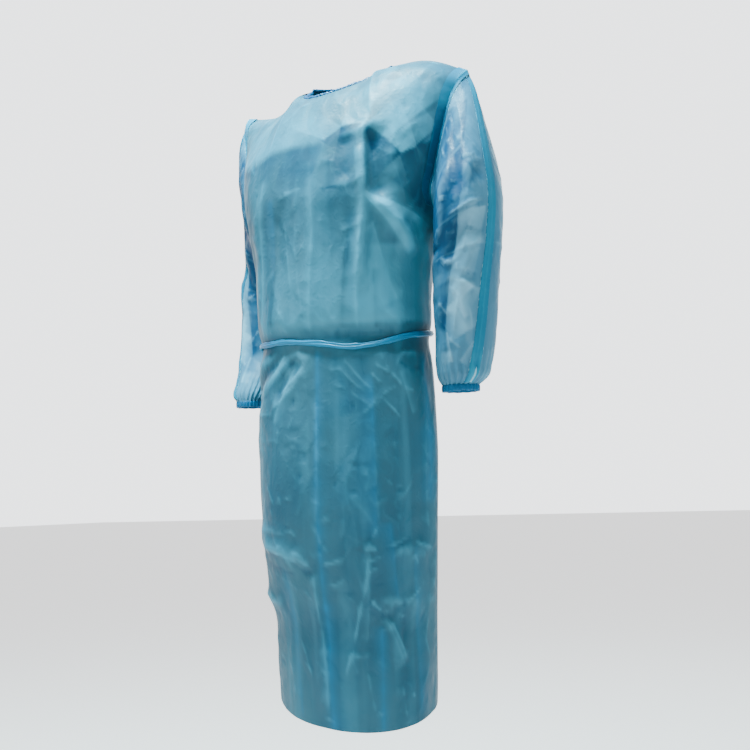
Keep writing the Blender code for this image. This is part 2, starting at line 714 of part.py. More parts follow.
def build_binding(gown, grids, normals):
    """The round binding that stands on the neckline, from one edge of the opening to the other."""
    neck_back = int(BACK_COLUMNS * NECK_SHARE)
    neck_front = int(FRONT_COLUMNS // 2 * NECK_SHARE)
    middle = FRONT_COLUMNS // 2
    stretches = (
        ("right", range(BACK_COLUMNS, BACK_COLUMNS - neck_back, -1)),
        ("front", range(middle - neck_front, middle + neck_front + 1)),
        ("left", range(BACK_COLUMNS - neck_back + 1, BACK_COLUMNS + 1)),
    )
    edge = np.array([grids[name][0, column] for name, columns in stretches for column in columns])
    facing = np.array([normals[name][0, column] for name, columns in stretches for column in columns])

    # Out of the edge, within the surface of the cloth
    beyond = unit(np.cross(facing, np.gradient(edge, axis=0)))
    path = edge - facing * CLOTH / 2 + beyond * (BINDING_RADIUS + BINDING_GAP)
    rope("neck_binding", path, BINDING_RADIUS, 8, "neck_trim", gown)


def build_cuff(gown, side, sleeve):
    """The elastic binding at the end of a sleeve."""
    ring = sleeve[-1]
    middle = ring.mean(axis=0)
    spokes = unit((ring - middle) * (1.0, 1.0, 0.0))
    radius = np.linalg.norm((ring - middle)[:, :2], axis=1).mean() + CUFF_THICKNESS / 2
    top = middle[2] - (ring[:, 2].max() - middle[2]) - CUFF_GAP
    rows = []
    for share, swell in ((0.0, 0.0), (0.3, CUFF_SWELL), (0.7, CUFF_SWELL), (1.0, 0.0)):
        row = middle + spokes * (radius + swell)
        row[:, 2] = top - share * CUFF_HEIGHT
        rows.append(row)
    facing = np.broadcast_to(spokes, (len(rows), *spokes.shape))
    name = "cuff_left" if side > 0 else "cuff_right"
    wall(name, np.array(rows), facing, CUFF_THICKNESS, "cuff_elastic", gown, closed=True)


def build_belt(gown):
    """The belt round the waist, its knot at the centre back and its two free ends."""
    reach = BELT_RADIUS + BELT_CLEARANCE
    knot = belt_points(180.0, BELT_BACK_DROP, BELT_CLEARANCE + KNOT_SIZE[1])
    half_girth = body_value("half_width", BELT_BACK_DROP) + reach
    half_turn = math.degrees(KNOT_SIZE[0] * KNOT_REACH / half_girth)
    turns = np.linspace(-180.0 + half_turn, 180.0 - half_turn, BELT_POINTS)
    rope("waist_belt", belt_points(turns, belt_drop(turns), reach), BELT_RADIUS, 8, "coated_cloth", gown)

    ball = bmesh.new()
    bmesh.ops.create_uvsphere(ball, u_segments=16, v_segments=10, radius=1.0)
    mesh = bpy.data.meshes.new("belt_knot")
    ball.to_mesh(mesh)
    ball.free()
    mesh.shade_smooth()
    knot_object = add_object("belt_knot", mesh, "coated_cloth", gown)
    knot_object.scale = KNOT_SIZE
    knot_object.location = knot

    for name, turn, swing in (("belt_end_left", 177.6, -3.0), ("belt_end_right", 182.4, 4.0)):
        share = np.linspace(0.0, 1.0, BELT_END_POINTS)
        drop = BELT_BACK_DROP + KNOT_SIZE[2] * KNOT_REACH + BELT_END_LENGTH * share
        path = belt_points(turn + swing * ease(share), drop, reach)
        rope(name, path, BELT_END_RADIUS, 6, "coated_cloth", gown)


def main():
    for obj in list(bpy.data.objects):
        bpy.data.objects.remove(obj, do_unlink=True)
    parts = bpy.data.collections.new("isolation_gown")
    bpy.context.scene.collection.children.link(parts)
    gown = bpy.data.objects.new("gown_origin", None)
    parts.objects.link(gown)

    grids, normals = body_grids()
    front, left, right = grids["front"], grids["left"], grids["right"]

    # Sleeves, each from the loop of its armhole: down the front edge, then up the back edge
    sleeves, sleeve_normals = {}, {}
    upper = np.s_[: UPPER_ROWS + 1]
    middle, neck = FRONT_COLUMNS // 2, int(FRONT_COLUMNS // 2 * NECK_SHARE)
    stand_up(normals["front"], front, np.s_[: middle - neck + 1])
    stand_up(normals["front"], front, np.s_[middle + neck :])
    for name in ("left", "right"):
        stand_up(normals[name], grids[name], np.s_[: BACK_COLUMNS - int(BACK_COLUMNS * NECK_SHARE) + 1])
    for side, edge, back, name in ((1, -1, left, "left"), (-1, 0, right, "right")):
        back_normals = normals[name]
        loop = np.concatenate((front[upper, edge], back[upper, 0][-2:0:-1]))
        loop_normals = np.concatenate((normals["front"][upper, edge], back_normals[upper, 0][-2:0:-1]))
        grid = sleeve_grid(side, loop)
        facing = normals_of(grid, closed=True) * -side
        facing[0] = unit(facing[0] + loop_normals)
        sleeves[side], sleeve_normals[side] = grid, facing
        normals["front"][upper, edge] = facing[0][: UPPER_ROWS + 1]
        back_normals[1:UPPER_ROWS, 0] = facing[0][UPPER_ROWS + 1 :][::-1]
        back_normals[0, 0] = facing[0][0]
        back_normals[UPPER_ROWS, 0] = facing[0][UPPER_ROWS]

    # Side seams
    below = np.s_[UPPER_ROWS + 1 :]
    share_normals(normals["front"][below, -1], normals["left"][below, 0])
    share_normals(normals["front"][below, 0], normals["right"][below, 0])

    # The walls
    front_moves = shrink_edges(front, ("top", "first", "last"))
    wall("front_panel", front + front_moves, normals["front"], CLOTH, "coated_cloth", gown)
    for name, side in (("left", 1), ("right", -1)):
        grid = grids[name] + shrink_edges(grids[name], ("top", "first"))
        wall("back_panel_" + name, grid, normals[name], CLOTH, "coated_cloth", gown)
        sleeve = sleeves[side] + shrink_edges(sleeves[side], ("top",))
        wall("sleeve_" + name, sleeve, sleeve_normals[side], CLOTH, "coated_cloth", gown, closed=True)
        seam_normals = sleeve_normals[side][0]
        build_tapes(gown, side, grids, normals, sleeves[side], sleeve_normals[side], seam_normals)
        build_cuff(gown, side, sleeves[side])
    build_binding(gown, grids, normals)
    build_belt(gown)


if __name__ == "__main__":
    main()
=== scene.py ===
"""The isolation gown as it looks when worn, with nobody in it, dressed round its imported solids.

Metres, +Z up. The front faces -Y, and the wearer's left is +X. A point on the body of the gown is given
by its turn, in degrees round from the centre front towards the wearer's left, and by its drop below the
shoulder line. The forms, tables and seams are those of the solids, worked out here more finely, with
the pressed and pulled creases of film-coated cloth added to them.
"""

from __future__ import annotations

import logging
import math
from dataclasses import dataclass, field
from enum import Enum
from typing import Iterable, Sequence

import bmesh
import bpy
import numpy as np
from mathutils import Matrix, Vector

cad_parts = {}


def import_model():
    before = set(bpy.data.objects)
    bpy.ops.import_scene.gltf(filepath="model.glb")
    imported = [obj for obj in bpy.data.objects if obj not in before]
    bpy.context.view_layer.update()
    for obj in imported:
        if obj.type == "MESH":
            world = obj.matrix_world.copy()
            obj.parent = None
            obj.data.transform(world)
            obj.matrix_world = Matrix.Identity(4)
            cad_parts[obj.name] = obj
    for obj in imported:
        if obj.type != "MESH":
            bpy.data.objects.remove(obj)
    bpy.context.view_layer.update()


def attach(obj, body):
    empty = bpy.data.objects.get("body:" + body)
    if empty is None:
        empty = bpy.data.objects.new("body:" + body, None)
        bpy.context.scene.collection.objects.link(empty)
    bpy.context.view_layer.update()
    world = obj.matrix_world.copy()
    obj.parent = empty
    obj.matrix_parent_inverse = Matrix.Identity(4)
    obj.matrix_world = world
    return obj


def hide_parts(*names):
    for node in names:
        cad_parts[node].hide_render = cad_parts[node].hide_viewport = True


Array = np.ndarray
Pair = tuple[Array, Array]
Place = tuple[float, float, float]
Colour = tuple[float, float, float]
Socket = bpy.types.NodeSocket
MM = 0.001
BODY_NAME = "root"
PLAIN_COLUMNS = ("turn", "angle", "square")
SHARP_CREST = 0.07
ANY_LEAN = 1.57
ANY_PHASE = 6.28
FACETS = 61
FACET_SWAY = 0.33
FACET_TREMBLE = 0.16
RIDGED = "RIDGED_MULTIFRACTAL"
WHOLE_TURN = 360.0
HALF_TURN = 180.0
RADIAN = 57.3
log = logging.getLogger("isolation_gown")


class Side(Enum):
    """A side of the wearer. The value is the sign of X there."""

    LEFT = 1
    RIGHT = -1

    @property
    def word(self) -> str:
        """The side's name, as the names of pieces have it."""
        return self.name.lower()

    @property
    def sleeve(self) -> str:
        """The name of the sleeve on this side."""
        return "sleeve_" + self.word


class Profile(Enum):
    """The cross-section of a fold."""

    ROUND = "round"
    SHARP = "sharp"


def unit(vectors: Array) -> Array:
    """Scales vectors to length one."""
    return vectors / np.maximum(np.linalg.norm(vectors, axis=-1, keepdims=True), 1e-12)


def ease(share: Array) -> Array:
    """A smooth step from 0 to 1 as the share goes from 0 to 1."""
    share = np.clip(share, 0.0, 1.0)
    return share * share * (3.0 - 2.0 * share)


def mix(first: Array, second: Array, share: Array) -> Array:
    """A blend of two values: the first at share 0, and the second at share 1."""
    return first + (second - first) * share


def normals_of(grid: Array, closed: bool = False) -> Array:
    """Unit normals of a grid of points.

    Args:
        grid: Points, as rows of columns.
        closed: Whether the last column meets the first.

    Returns:
        One normal a point, to the left of the way down when it is seen from outside.
    """
    if closed:
        across = np.roll(grid, -1, axis=1) - np.roll(grid, 1, axis=1)
    else:
        across = np.gradient(grid, axis=1)
    return unit(np.cross(np.gradient(grid, axis=0), across))


def round_angles(sides: int) -> Array:
    """Even angles all the way round, in radians."""
    return np.linspace(0.0, 2 * np.pi, sides, endpoint=False)


def signed_power(value: Array, power: Array) -> Array:
    """A power of each value's size, with the value's sign."""
    return np.sign(value) * np.abs(value) ** power


def level(vectors: Array) -> Array:
    """Vectors laid level and scaled to length one."""
    return unit(vectors * (1.0, 1.0, 0.0))


def alike(direction: Place, path: Array) -> Array:
    """One direction at every point of a path."""
    return np.broadcast_to(np.array(direction), path.shape)


def sharp_section(aside: Array, width: Array) -> Array:
    """The height of a crease at a distance to its side, as a share of its full height."""
    return np.exp(SHARP_CREST - np.sqrt((aside / width) ** 2 + SHARP_CREST**2))


def placed(name: str, data: bpy.types.ID) -> bpy.types.Object:
    """A new object of the scene that shows a mesh, a light or a camera."""
    obj = bpy.data.objects.new(name, data)
    bpy.context.scene.collection.objects.link(obj)
    return obj


def wave(at: Array, parts: Sequence[tuple[float, float, float]]) -> Array:
    """An uneven wave.

    Args:
        at: Where to read it, in metres or as a share.
        parts: Height, length and phase of each wave that it is the sum of.

    Returns:
        The height at each place.
    """
    return sum(height * np.sin(2.0 * np.pi * at / length + phase) for height, length, phase in parts)


@dataclass(frozen=True)
class Table:
    """A table of sizes with named columns, read on a smooth curve through its rows.

    Attributes:
        columns: The names of the columns, the first being where each row lies.
        rows: The rows, in order.
    """

    columns: str
    rows: tuple[tuple[float, ...], ...]

    def read(self, column: str, at: Array) -> Array:
        """Reads a column at any value of the first one.

        Args:
            column: The column's name.
            at: Values of the first column.

        Returns:
            The column there.
        """
        rows = np.array(self.rows, float)
        keys, values = rows[:, 0], rows[:, self.columns.split().index(column)]
        slopes = np.gradient(values, keys)
        at = np.clip(at, keys[0], keys[-1])
        index = np.clip(np.searchsorted(keys, at, side="right") - 1, 0, len(keys) - 2)
        span = keys[index + 1] - keys[index]
        t = (at - keys[index]) / span
        rise = values[index + 1] - values[index]
        first, last = slopes[index] * span, slopes[index + 1] * span
        return values[index] + t * (first + t * (3 * rise - 2 * first - last + t * (first + last - 2 * rise)))

    def named(self) -> list[dict[str, float]]:
        """The rows as dictionaries by column."""
        return [dict(zip(self.columns.split(), row)) for row in self.rows]


def table(columns: str, *rows: tuple[float, ...]) -> Table:
    """A table given in plain numbers for turns, angles and squareness, and in thousandths for all else.

    Args:
        columns: The names of the columns.
        rows: The rows, in degrees, in millimetres and in thousandths of a length or strength.

    Returns:
        The table in degrees, metres and shares.
    """
    parts = [1.0 if name.split("_")[-1] in PLAIN_COLUMNS else 1000.0 for name in columns.split()]
    sizes = (tuple(round(value / part, 7) for value, part in zip(row, parts)) for row in rows)
    return Table(columns, tuple(sizes))


@dataclass(frozen=True)
class Folds:
    """Folds along straight lines over a form that is laid out flat.

    Attributes:
        table: One row a fold: its two ends, its width on each side and its height, negative in a trough.
        profile: The cross-section.
        radius: Metres across for each radian round the form.
        length: Metres along for each unit of the second coordinate.
        fade: The share of a fold's length over which each end fades out.
        spread: How much wider than the table the folds are.
        lift: How much higher than the table the folds are.
        bow: How far the middle of a fold strays to one side, as a share of its length.
        taper: How much wider than its middle a sharp fold is at one end.
        wander: How much the height of a sharp fold varies.
        wander_lengths: The lengths of the two waves in which it does.
    """

    table: Table
    profile: Profile
    radius: float
    length: float = 1.0
    fade: float = 0.25
    spread: float = 1.0
    lift: float = 1.0
    bow: float = 0.0
    taper: float = 0.45
    wander: float = 0.2
    wander_lengths: tuple[float, float] = (11 * MM, 19 * MM)

    def height(self, around: Array, along: Array) -> Array:
        """The height of all the folds together.

        Args:
            around: Degrees round the form.
            along: The second coordinate.

        Returns:
            The height in metres at each place.
        """
        around, along = np.broadcast_arrays(around, along)
        total = np.zeros(around.shape)
        for index, fold in enumerate(self.table.named()):
            start, end = (
                np.array((math.radians(fold[at + "_turn"]) * self.radius, fold[at + "_drop"] * self.length))
                for at in ("from", "to")
            )
            length = float(np.linalg.norm(end - start))
            line = (end - start) / length
            x = np.radians(around) * self.radius - start[0]
            y = along * self.length - start[1]
            way = (x * line[0] + y * line[1]) / length
            bend = self.bow * math.sin(2.4 * index + 1.0)
            aside = x * line[1] - y * line[0] + 4.0 * bend * length * way * (1.0 - way)
            ends = ease(way / self.fade) * ease((1.0 - way) / self.fade)
            if self.profile is Profile.ROUND:
                section = np.exp(-((aside / fold["width"]) ** 2))
            else:
                width = np.where(aside < 0.0, fold["width_below"], fold["width_above"]) * self.spread
                from_middle = 2.0 * np.clip(way, 0.0, 1.0) - 1.0
                width = width * (1.0 + self.taper * math.cos(1.7 * index) * from_middle)
                section = sharp_section(aside, width)
                short, long = (way * length / wave_length for wave_length in self.wander_lengths)
                ends = ends * (1.0 - self.wander + self.wander * np.sin(short + index) * np.sin(long))
            total = total + fold["height"] * self.lift * ends * section
        return total


@dataclass(frozen=True)
class Crinkles:
    """Small uneven creases scattered over film-coated cloth, with flat facets between them.

    Attributes:
        seed: Starts the random draws.
        density: Creases for each square metre.
        lengths: Shortest and longest crease.
        widths: Narrowest and widest crease.
        heights: Lowest and highest crease.
        upright: The share of creases that run up and down.
        lean: How far those lean, in radians.
        bow: How much the creases bend.
        shortness: How many more short creases than long ones there are.
        skews: How many times as wide the far side of a crease is.
        facets: Size across, size along and height of each layer of facets.
    """

    seed: int
    density: float = 280.0
    lengths: tuple[float, float] = (0.010, 0.075)
    widths: tuple[float, float] = (0.0035, 0.0110)
    heights: tuple[float, float] = (0.0002, 0.0009)
    upright: float = 0.55
    lean: float = 0.35
    bow: float = 0.12
    shortness: float = 2.2
    skews: tuple[float, float] = (0.6, 1.8)
    facets: tuple[tuple[float, float, float], ...] = ((0.050, 0.120, 0.0020), (0.022, 0.034, 0.0006))

    def height(self, across: Array, along: Array) -> Array:
        """The height of the creases and facets.

        Args:
            across: Metres across the cloth.
            along: Metres down the cloth.

        Returns:
            The height in metres at each place.
        """
        random = np.random.default_rng(self.seed)
        total = np.zeros(across.shape)
        for wide, tall, height in self.facets:
            total += height * self.facet_layer(across / wide, along / tall, random)
        low = np.array((across.min(), along.min()))
        size = np.array((across.max(), along.max())) - low
        for _ in range(int(self.density * size[0] * size[1])):
            middle = low + random.random(2) * size
            length = mix(self.lengths[0], self.lengths[1], random.random() ** self.shortness)
            width = random.uniform(*self.widths)
            height = random.uniform(*self.heights) * random.choice((-1.0, 1.0))
            steep = random.random() < self.upright
            lean = random.normal(0.0, self.lean) if steep else random.uniform(-ANY_LEAN, ANY_LEAN)
            skew = random.uniform(*self.skews)
            x, y = across - middle[0], along - middle[1]
            near = (np.abs(x) < length) & (np.abs(y) < length)
            if not near.any():
                continue
            x, y = x[near], y[near]
            way = (y * math.cos(lean) + x * math.sin(lean)) / length
            aside = x * math.cos(lean) - y * math.sin(lean) + self.bow * length * way * way
            wide = np.where(aside < 0.0, width, width * skew)
            section = sharp_section(aside, wide)
            total[near] += height * section * ease(2.0 - 4.0 * np.abs(way))
        return total

    @staticmethod
    def facet_layer(u: Array, v: Array, random: np.random.Generator) -> Array:
        """Flat triangles of uneven size between random heights.

        Args:
            u: Places across, in facets.
            v: Places along, in facets.
            random: The draws.

        Returns:
            Heights from -1 to 1.
        """
        phase = random.uniform(0.0, ANY_PHASE, 4)
        sway, tremble = FACET_SWAY, FACET_TREMBLE
        u = u + sway * np.sin(1.7 * v + phase[0]) + tremble * np.sin(4.3 * v + 1.1 * u + phase[1])
        v = v + sway * np.sin(1.9 * u + phase[2]) + tremble * np.sin(4.7 * u - 1.3 * v + phase[3])
        heights = random.uniform(-1.0, 1.0, (FACETS, FACETS))
        leans = random.random((FACETS, FACETS)) < 0.5
        column, row = np.floor(u).astype(int), np.floor(v).astype(int)
        x, y = u - column, v - row
        column, row = column % FACETS, row % FACETS
        beyond, below = (column + 1) % FACETS, (row + 1) % FACETS
        a, b = heights[column, row], heights[beyond, row]
        c, d = heights[column, below], heights[beyond, below]
        near, far = a + (b - a) * x + (c - a) * y, d + (c - d) * (1 - x) + (b - d) * (1 - y)
        rising = np.where(x + y < 1.0, near, far)
        falling = np.where(x > y, a + (b - a) * x + (d - b) * y, a + (c - a) * y + (d - c) * x)
        return np.where(leans[column, row], rising, falling)


ROUND_COLUMNS = "from_turn from_drop to_turn to_drop width height"
SHARP_COLUMNS = "from_turn from_drop to_turn to_drop width_below width_above height"

# The largest folds of the body, as the solids have them
BODY_FOLDS = table(
    ROUND_COLUMNS,
    (26, 120, 39, 440, 12, 9), (31, 130, 47, 280, 20, -12), (19, 140, 22, 240, 18, -5.5),
    (32, 245, 80, 360, 14, 6), (0, 200, 7, 490, 18, 3.5), (-26, 220, -52, 470, 18, 4),
    (-13, 240, -20, 460, 16, -4), (56, 300, 62, 480, 20, -4.5), (-14, 520, -72, 600, 14, -6),
    (-2, 525, -26, 610, 13, -5), (70, 560, 72, 1120, 30, -4.5), (38, 560, 40, 860, 26, 4),
    (14, 620, 16, 900, 24, -3.5), (2, 890, 4, 1190, 18, 4.8), (47, 820, 19, 1110, 19, 4.5),
    (-60, 840, 2, 905, 22, 5.5), (-64, 955, -26, 970, 18, 4.5), (36, 960, 86, 975, 18, 3),
    (54, 870, 94, 882, 18, 3.2), (48, 985, 66, 1080, 18, 3.2), (98, 560, 100, 1150, 30, 5.5),
    (128, 540, 126, 1130, 30, -6), (152, 540, 150, 1130, 34, 7), (-102, 560, -100, 1150, 30, 5),
    (-128, 540, -126, 1130, 30, -6), (-152, 540, -156, 1130, 34, 6), (132, 180, 140, 470, 26, 6),
    (-134, 180, -142, 470, 26, 6), (160, 220, 164, 470, 28, -5), (-164, 220, -166, 470, 28, -5),
)

# The creases of the front: chest, midriff, under the belt, skirt and hem
FRONT_CREASES = table(
    SHARP_COLUMNS,
    (25.5, 116, 32, 270, 7, 10, 4), (31, 250, 37, 470, 4, 5, 2), (30, 132, 38, 205, 6, 12, -5),
    (36, 172, 53, 190, 6, 16, 4.5), (51, 190, 64, 170, 6, 16, 4.5), (62, 172, 80, 132, 7, 16, 5),
    (52, 120, 63, 176, 6, 10, 3), (7, 138, 6, 205, 4, 6, 2.2), (12, 128, 26, 118, 8, 14, 3),
    (-34, 160, 2, 150, 10, 16, 2.6), (31, 246, 82, 362, 18, 5, 5), (66, 290, 84, 352, 6, 5, 2.6),
    (60, 318, 76, 330, 5, 7, 1.8), (-14, 246, -1, 234, 3, 7, 2), (8, 236, 23, 250, 3, 5, -1.7),
    (5, 293, 17, 298, 5, 5, 1.5), (0.5, 215, 3, 492, 6, 4, 3), (23, 250, 27, 470, 9, 8, -2.4),
    (-47, 180, -62, 482, 8, 6, 3), (-9, 250, -6, 455, 4, 4, 2.2), (-22, 300, -28, 460, 6, 5, -1.8),
    (18, 488, 80, 486, 2, 2, -0.8), (44, 380, 48, 490, 5, 6, 1.4), (66, 380, 70, 485, 6, 6, 1.6),
    (-60, 260, -34, 256, 3, 4, 1), (40, 260, 62, 252, 3, 4, 1), (-4, 524, -30, 596, 6, 8, -6),
    (-26, 588, -76, 618, 7, 8, -5), (5, 530, -27, 606, 5, 6, 4.6), (2, 532, -11, 574, 3, 3, -2.6),
    (-4, 574, -32, 624, 6, 4, 3.4), (-66, 622, -18, 628, 5, 4, 3), (-40, 520, -58, 570, 6, 6, 3.4),
    (-8, 598, -8.5, 622, 3, 3, -1.8), (24, 530, 48, 606, 4, 4, 2.6), (46, 600, 66, 648, 4, 3, 2.6),
    (15, 556, 26, 558, 3, 3, 1.6), (24, 556, 42, 604, 3, 4, 1.8), (16, 582, 29, 594, 2, 3, 1.4),
    (27, 590, 45, 628, 3, 3, 1.5), (35, 640, 49, 606, 3, 3, 2), (49, 606, 63, 588, 3, 3, 2),
    (45, 546, 58, 566, 3, 4, 2.2), (56, 562, 67, 592, 3, 4, 2.2), (65, 590, 80, 598, 3, 4, 1.8),
    (42, 560, 52, 586, 4, 4, 2.2), (63, 544, 73, 560, 3, 4, -2.6), (71, 560, 88, 551, 3, 4, -2.6),
    (62, 530, 86, 528, 10, 8, 3), (36, 515, 38, 590, 8, 8, -2.4), (-66, 664, -16, 672, 3, 4, 1.2),
    (3, 515, 2, 900, 5, 4, 2.2), (44, 640, 48, 880, 10, 6, 2), (88, 600, 92, 900, 10, 8, 3),
    (-66, 838, -12, 846, 7, 6, 4.4), (-50, 858, -12, 874, 5, 7, 5), (-14, 868, 3, 910, 4, 8, 5),
    (-54, 874, -14, 888, 5, 4, -4.2), (-16, 884, 3, 918, 5, 4, -3.6), (-62, 880, -44, 892, 4, 4, 3),
    (-30, 846, -20, 872, 4, 4, 2.6), (-42, 842, -50, 866, 3, 4, -2.2), (-20, 826, -6, 852, 4, 4, 2),
    (5, 898, 24, 884, 3, 3, 2.2), (-40, 905, -10, 945, 6, 6, 1.8), (10, 940, 24, 920, 5, 3, 1.8),
    (8, 944, 32, 946, 3, 4, -1.4), (-66, 952, -34, 970, 4, 8, 5.4), (-50, 980, -36, 992, 5, 4, -2),
    (1, 895, 2, 1010, 5, 4, 4.4), (2, 990, 4.5, 1190, 7, 4, 5), (49, 822, 37, 885, 4, 4, 3.2),
    (38, 870, 33, 960, 4, 3, 4), (34, 945, 24, 1050, 4, 3, 4.4), (26, 1040, 17, 1105, 4, 3, 3.6),
    (34, 872, 46, 872, 3, 3, 2.2), (36, 892, 50, 882, 3, 3, 1.6), (35, 915, 46, 900, 3, 3, 1.8),
    (34, 860, 44, 850, 3, 3, -1.6), (22, 1058, 38, 1056, 4, 4, 2.4), (53, 876, 77, 858, 4, 4, -2.6),
    (74, 858, 96, 874, 4, 5, 3), (50, 872, 74, 850, 4, 6, 2.4), (74, 880, 80, 905, 4, 4, 2),
    (37, 956, 48, 984, 4, 4, 3.4), (46, 984, 56, 982, 3, 5, 3), (54, 982, 69, 968, 3, 4, -2.4),
    (66, 970, 84, 938, 3, 5, 2.6), (47, 984, 66, 1078, 12, 3, 3.6), (33, 1050, 43, 1188, 8, 5, 2.6),
    (80, 1000, 92, 1080, 6, 6, 2), (-18, 1010, -4, 1112, 8, 4, 3.4), (-46, 1000, -56, 1130, 10, 7, 3),
    (-30, 1060, -22, 1150, 7, 5, 2), (60, 1100, 66, 1180, 7, 6, 2.4), (-72, 700, -78, 840, 8, 7, 2.4),
    (-34, 690, -30, 830, 6, 6, 1.4), (-90, 540, -84, 640, 6, 6, 3), (92, 920, 84, 1060, 6, 5, 2.2),
    (-12, 62, -20, 120, 10, 10, 1.4), (34, 70, 26, 118, 10, 12, 2),
)

# Where the front's film is painted vivid blue, where it doubles over and as painted shade by the armpit, and
# where it is painted pale, with negative height, as painted light on the lit top of the chest and on lit
# facets
FRONT_TONES = table(
    SHARP_COLUMNS,
    (36, 50, 62, 100, 30, 30, -600), (8.5, 515, 7, 760, 3, 6, 950), (7, 740, 7, 990, 4, 7, 900),
    (7, 960, 8.5, 1200, 6, 9, 950), (43, 560, 45, 860, 16, 4, 650), (45, 1000, 45, 1200, 8, 8, 800),
    (55, 820, 60, 965, 12, 3, 650), (90, 520, 92, 800, 12, 12, 800), (76, 860, 80, 1180, 4, 14, 450),
    (-20, 900, -16, 1180, 10, 3, 400), (66, 400, 72, 490, 22, 16, 100), (27, 330, 26, 490, 6, 10, 550),
    (-16, 230, -28, 480, 14, 3, 500), (46, 380, 48, 490, 3, 12, 400), (82, 190, 86, 290, 14, 14, 600),
    (56, 335, 58, 480, 60, 60, -850), (88, 310, 96, 480, 24, 34, -950), (-50, 468, 76, 478, 16, 24, -500),
    (-50, 390, 60, 410, 50, 60, -380), (40, 300, 66, 440, 30, 2, -500), (-60, 128, 9, 152, 9, 50, -500),
    (7, 151, 16, 126, 1.5, 50, -500), (15, 126, 30, 128, 1.5, 50, -550),
    (29, 134, 44.5, 164, 1.5, 60, -650), (43.5, 163, 53.5, 188, 1.5, 50, -600),
    (52.5, 188, 63, 170, 1.5, 50, -600), (62, 171, 74, 122, 1.5, 40, -500),
    (27, 124, 31.5, 245, 4.5, 3, -850), (31, 235, 36, 490, 5, 2.2, -550),
    (31, 250, 88, 306, 32, 1.5, -700), (32, 256, 73, 358, 1.5, 32, -700), (-22, 190, -44, 480, 4, 7, -600),
    (2, 180, 5.5, 350, 7, 2.5, -550), (5.5, 330, 4, 490, 7, 2.5, -500), (-8, 234, 0, 232, 4, 1, -600),
    (-52, 180, -64, 480, 8, 2, -400), (-30, 540, -12, 536, 16, 6, -450), (-16, 520, -44, 600, 2, 10, -600),
    (-6, 530, -26, 645, 2, 9, -600), (-56, 850, -8, 892, 2, 16, -600), (-60, 960, -44, 968, 2, 9, -600),
    (-44, 560, -40, 860, 20, 6, -300), (64, 560, 76, 640, 2, 16, -350), (40, 870, 34, 1040, 9, 1.5, -300),
    (48, 990, 64, 1080, 16, 1.5, -350),
)

# Painted shade: where the front lies in shade, under the bust, in the armpit and in its folds, it is painted
# deep blue
FRONT_SHADES = table(
    SHARP_COLUMNS,
    (-60, 154, 9, 162, 36, 6, 600), (6.5, 153, 16.5, 128, 32, 1.5, 720), (15, 128, 27, 130, 34, 1.5, 700),
    (28, 134, 36.5, 180, 3, 7, 900), (30, 139, 44.5, 167, 32, 1.5, 650),
    (43, 166, 53.5, 190, 42, 1.5, 750), (52, 190, 63.5, 173, 40, 1.5, 750),
    (62, 173, 76, 124, 34, 1.5, 850), (50, 230, 84, 290, 5, 30, 600), (80, 160, 83, 265, 12, 14, 750),
    (-12, 192, 5, 204, 22, 18, 450), (12, 180, 24, 215, 20, 12, 500), (8, 238, 20, 238, 4, 1, 600),
    (-12, 530, -34, 590, 2, 6, 600), (-30, 590, -66, 605, 2, 8, 550), (20, 530, 30, 640, 24, 12, 450),
    (-54, 884, -10, 915, 6, 1.5, 600), (22, 700, 26, 1150, 24, 12, 300), (60, 640, 68, 1150, 26, 10, 350),
    (50, 872, 74, 852, 6, 1.5, 450), (36, 960, 48, 990, 8, 1.5, 400),
)

# The same for the sleeves, over their angle and way: first pale as painted light on lit facets, and vivid as
# painted shade by the armpit, then deep as painted shade on the side that faces the body
SLEEVE_TONES = table(
    SHARP_COLUMNS,
    (26, 432, 76, 418, 130, 1.5, -850), (88, 728, 56, 835, 18, 28, -950), (52, 20, 56, 300, 2, 10, -400),
    (30, 700, 98, 630, 30, 1.5, -450), (96, 560, 104, 900, 12, 20, 600), (48, 680, 92, 760, 2, 20, -700),
    (84, 690, 62, 790, 15, 1.5, -600), (98, 820, 86, 930, 1.5, 8, -800), (44, 860, 70, 930, 10, 1.5, -500),
    (-60, 300, -20, 360, 30, 1.5, -500), (-84, 500, -40, 600, 30, 1.5, -400),
)
SLEEVE_SHADES = table(
    SHARP_COLUMNS,
    (82, 20, 84, 360, 48, 44, 980), (108, 300, 116, 620, 30, 30, 600), (110, 640, 100, 900, 20, 16, 500),
    (24, 85, 50, 207, 1.5, 50, 550), (49, 200, 74, 420, 1.5, 70, 950), (73.5, 410, 81, 545, 1.5, 60, 950),
    (80.5, 530, 104, 830, 1.5, 40, 800), (128, 20, 128, 520, 30, 30, 700),
    (-110, 200, -90, 700, 30, 1.5, 450), (40, 300, 66, 410, 10, 1.5, 400),
)

# The creases of both back halves, like those of the front
BACK_CREASES = table(
    SHARP_COLUMNS,
    (128, 90, 146, 250, 8, 7, 3.6), (152, 110, 160, 300, 7, 6, 2.8), (118, 230, 150, 350, 6, 12, 4),
    (172, 80, 176, 470, 5, 4, 2.4), (140, 250, 168, 256, 3, 4, 1.4), (130, 300, 136, 480, 6, 6, 2.6),
    (156, 330, 150, 480, 6, 6, -2.4), (112, 330, 118, 470, 5, 6, 2.2), (176, 505, 150, 590, 6, 5, 5),
    (168, 505, 136, 560, 5, 5, -3.6), (184, 510, 196, 600, 5, 6, 3.4), (150, 505, 120, 590, 6, 6, 3.4),
    (172, 560, 176, 880, 5, 4, 2.4), (126, 560, 124, 860, 8, 6, 3), (146, 640, 150, 860, 6, 8, 3),
    (118, 842, 150, 876, 5, 6, 4), (150, 870, 172, 850, 4, 6, 3.4), (128, 880, 160, 892, 4, 4, -2.8),
    (170, 880, 190, 888, 3, 4, 2), (140, 900, 134, 1140, 6, 5, 4.4), (166, 900, 174, 1120, 6, 5, 3.8),
    (154, 960, 162, 1060, 10, 4, 3), (112, 940, 134, 990, 4, 5, 2.6), (188, 700, 196, 1130, 6, 6, 3),
)

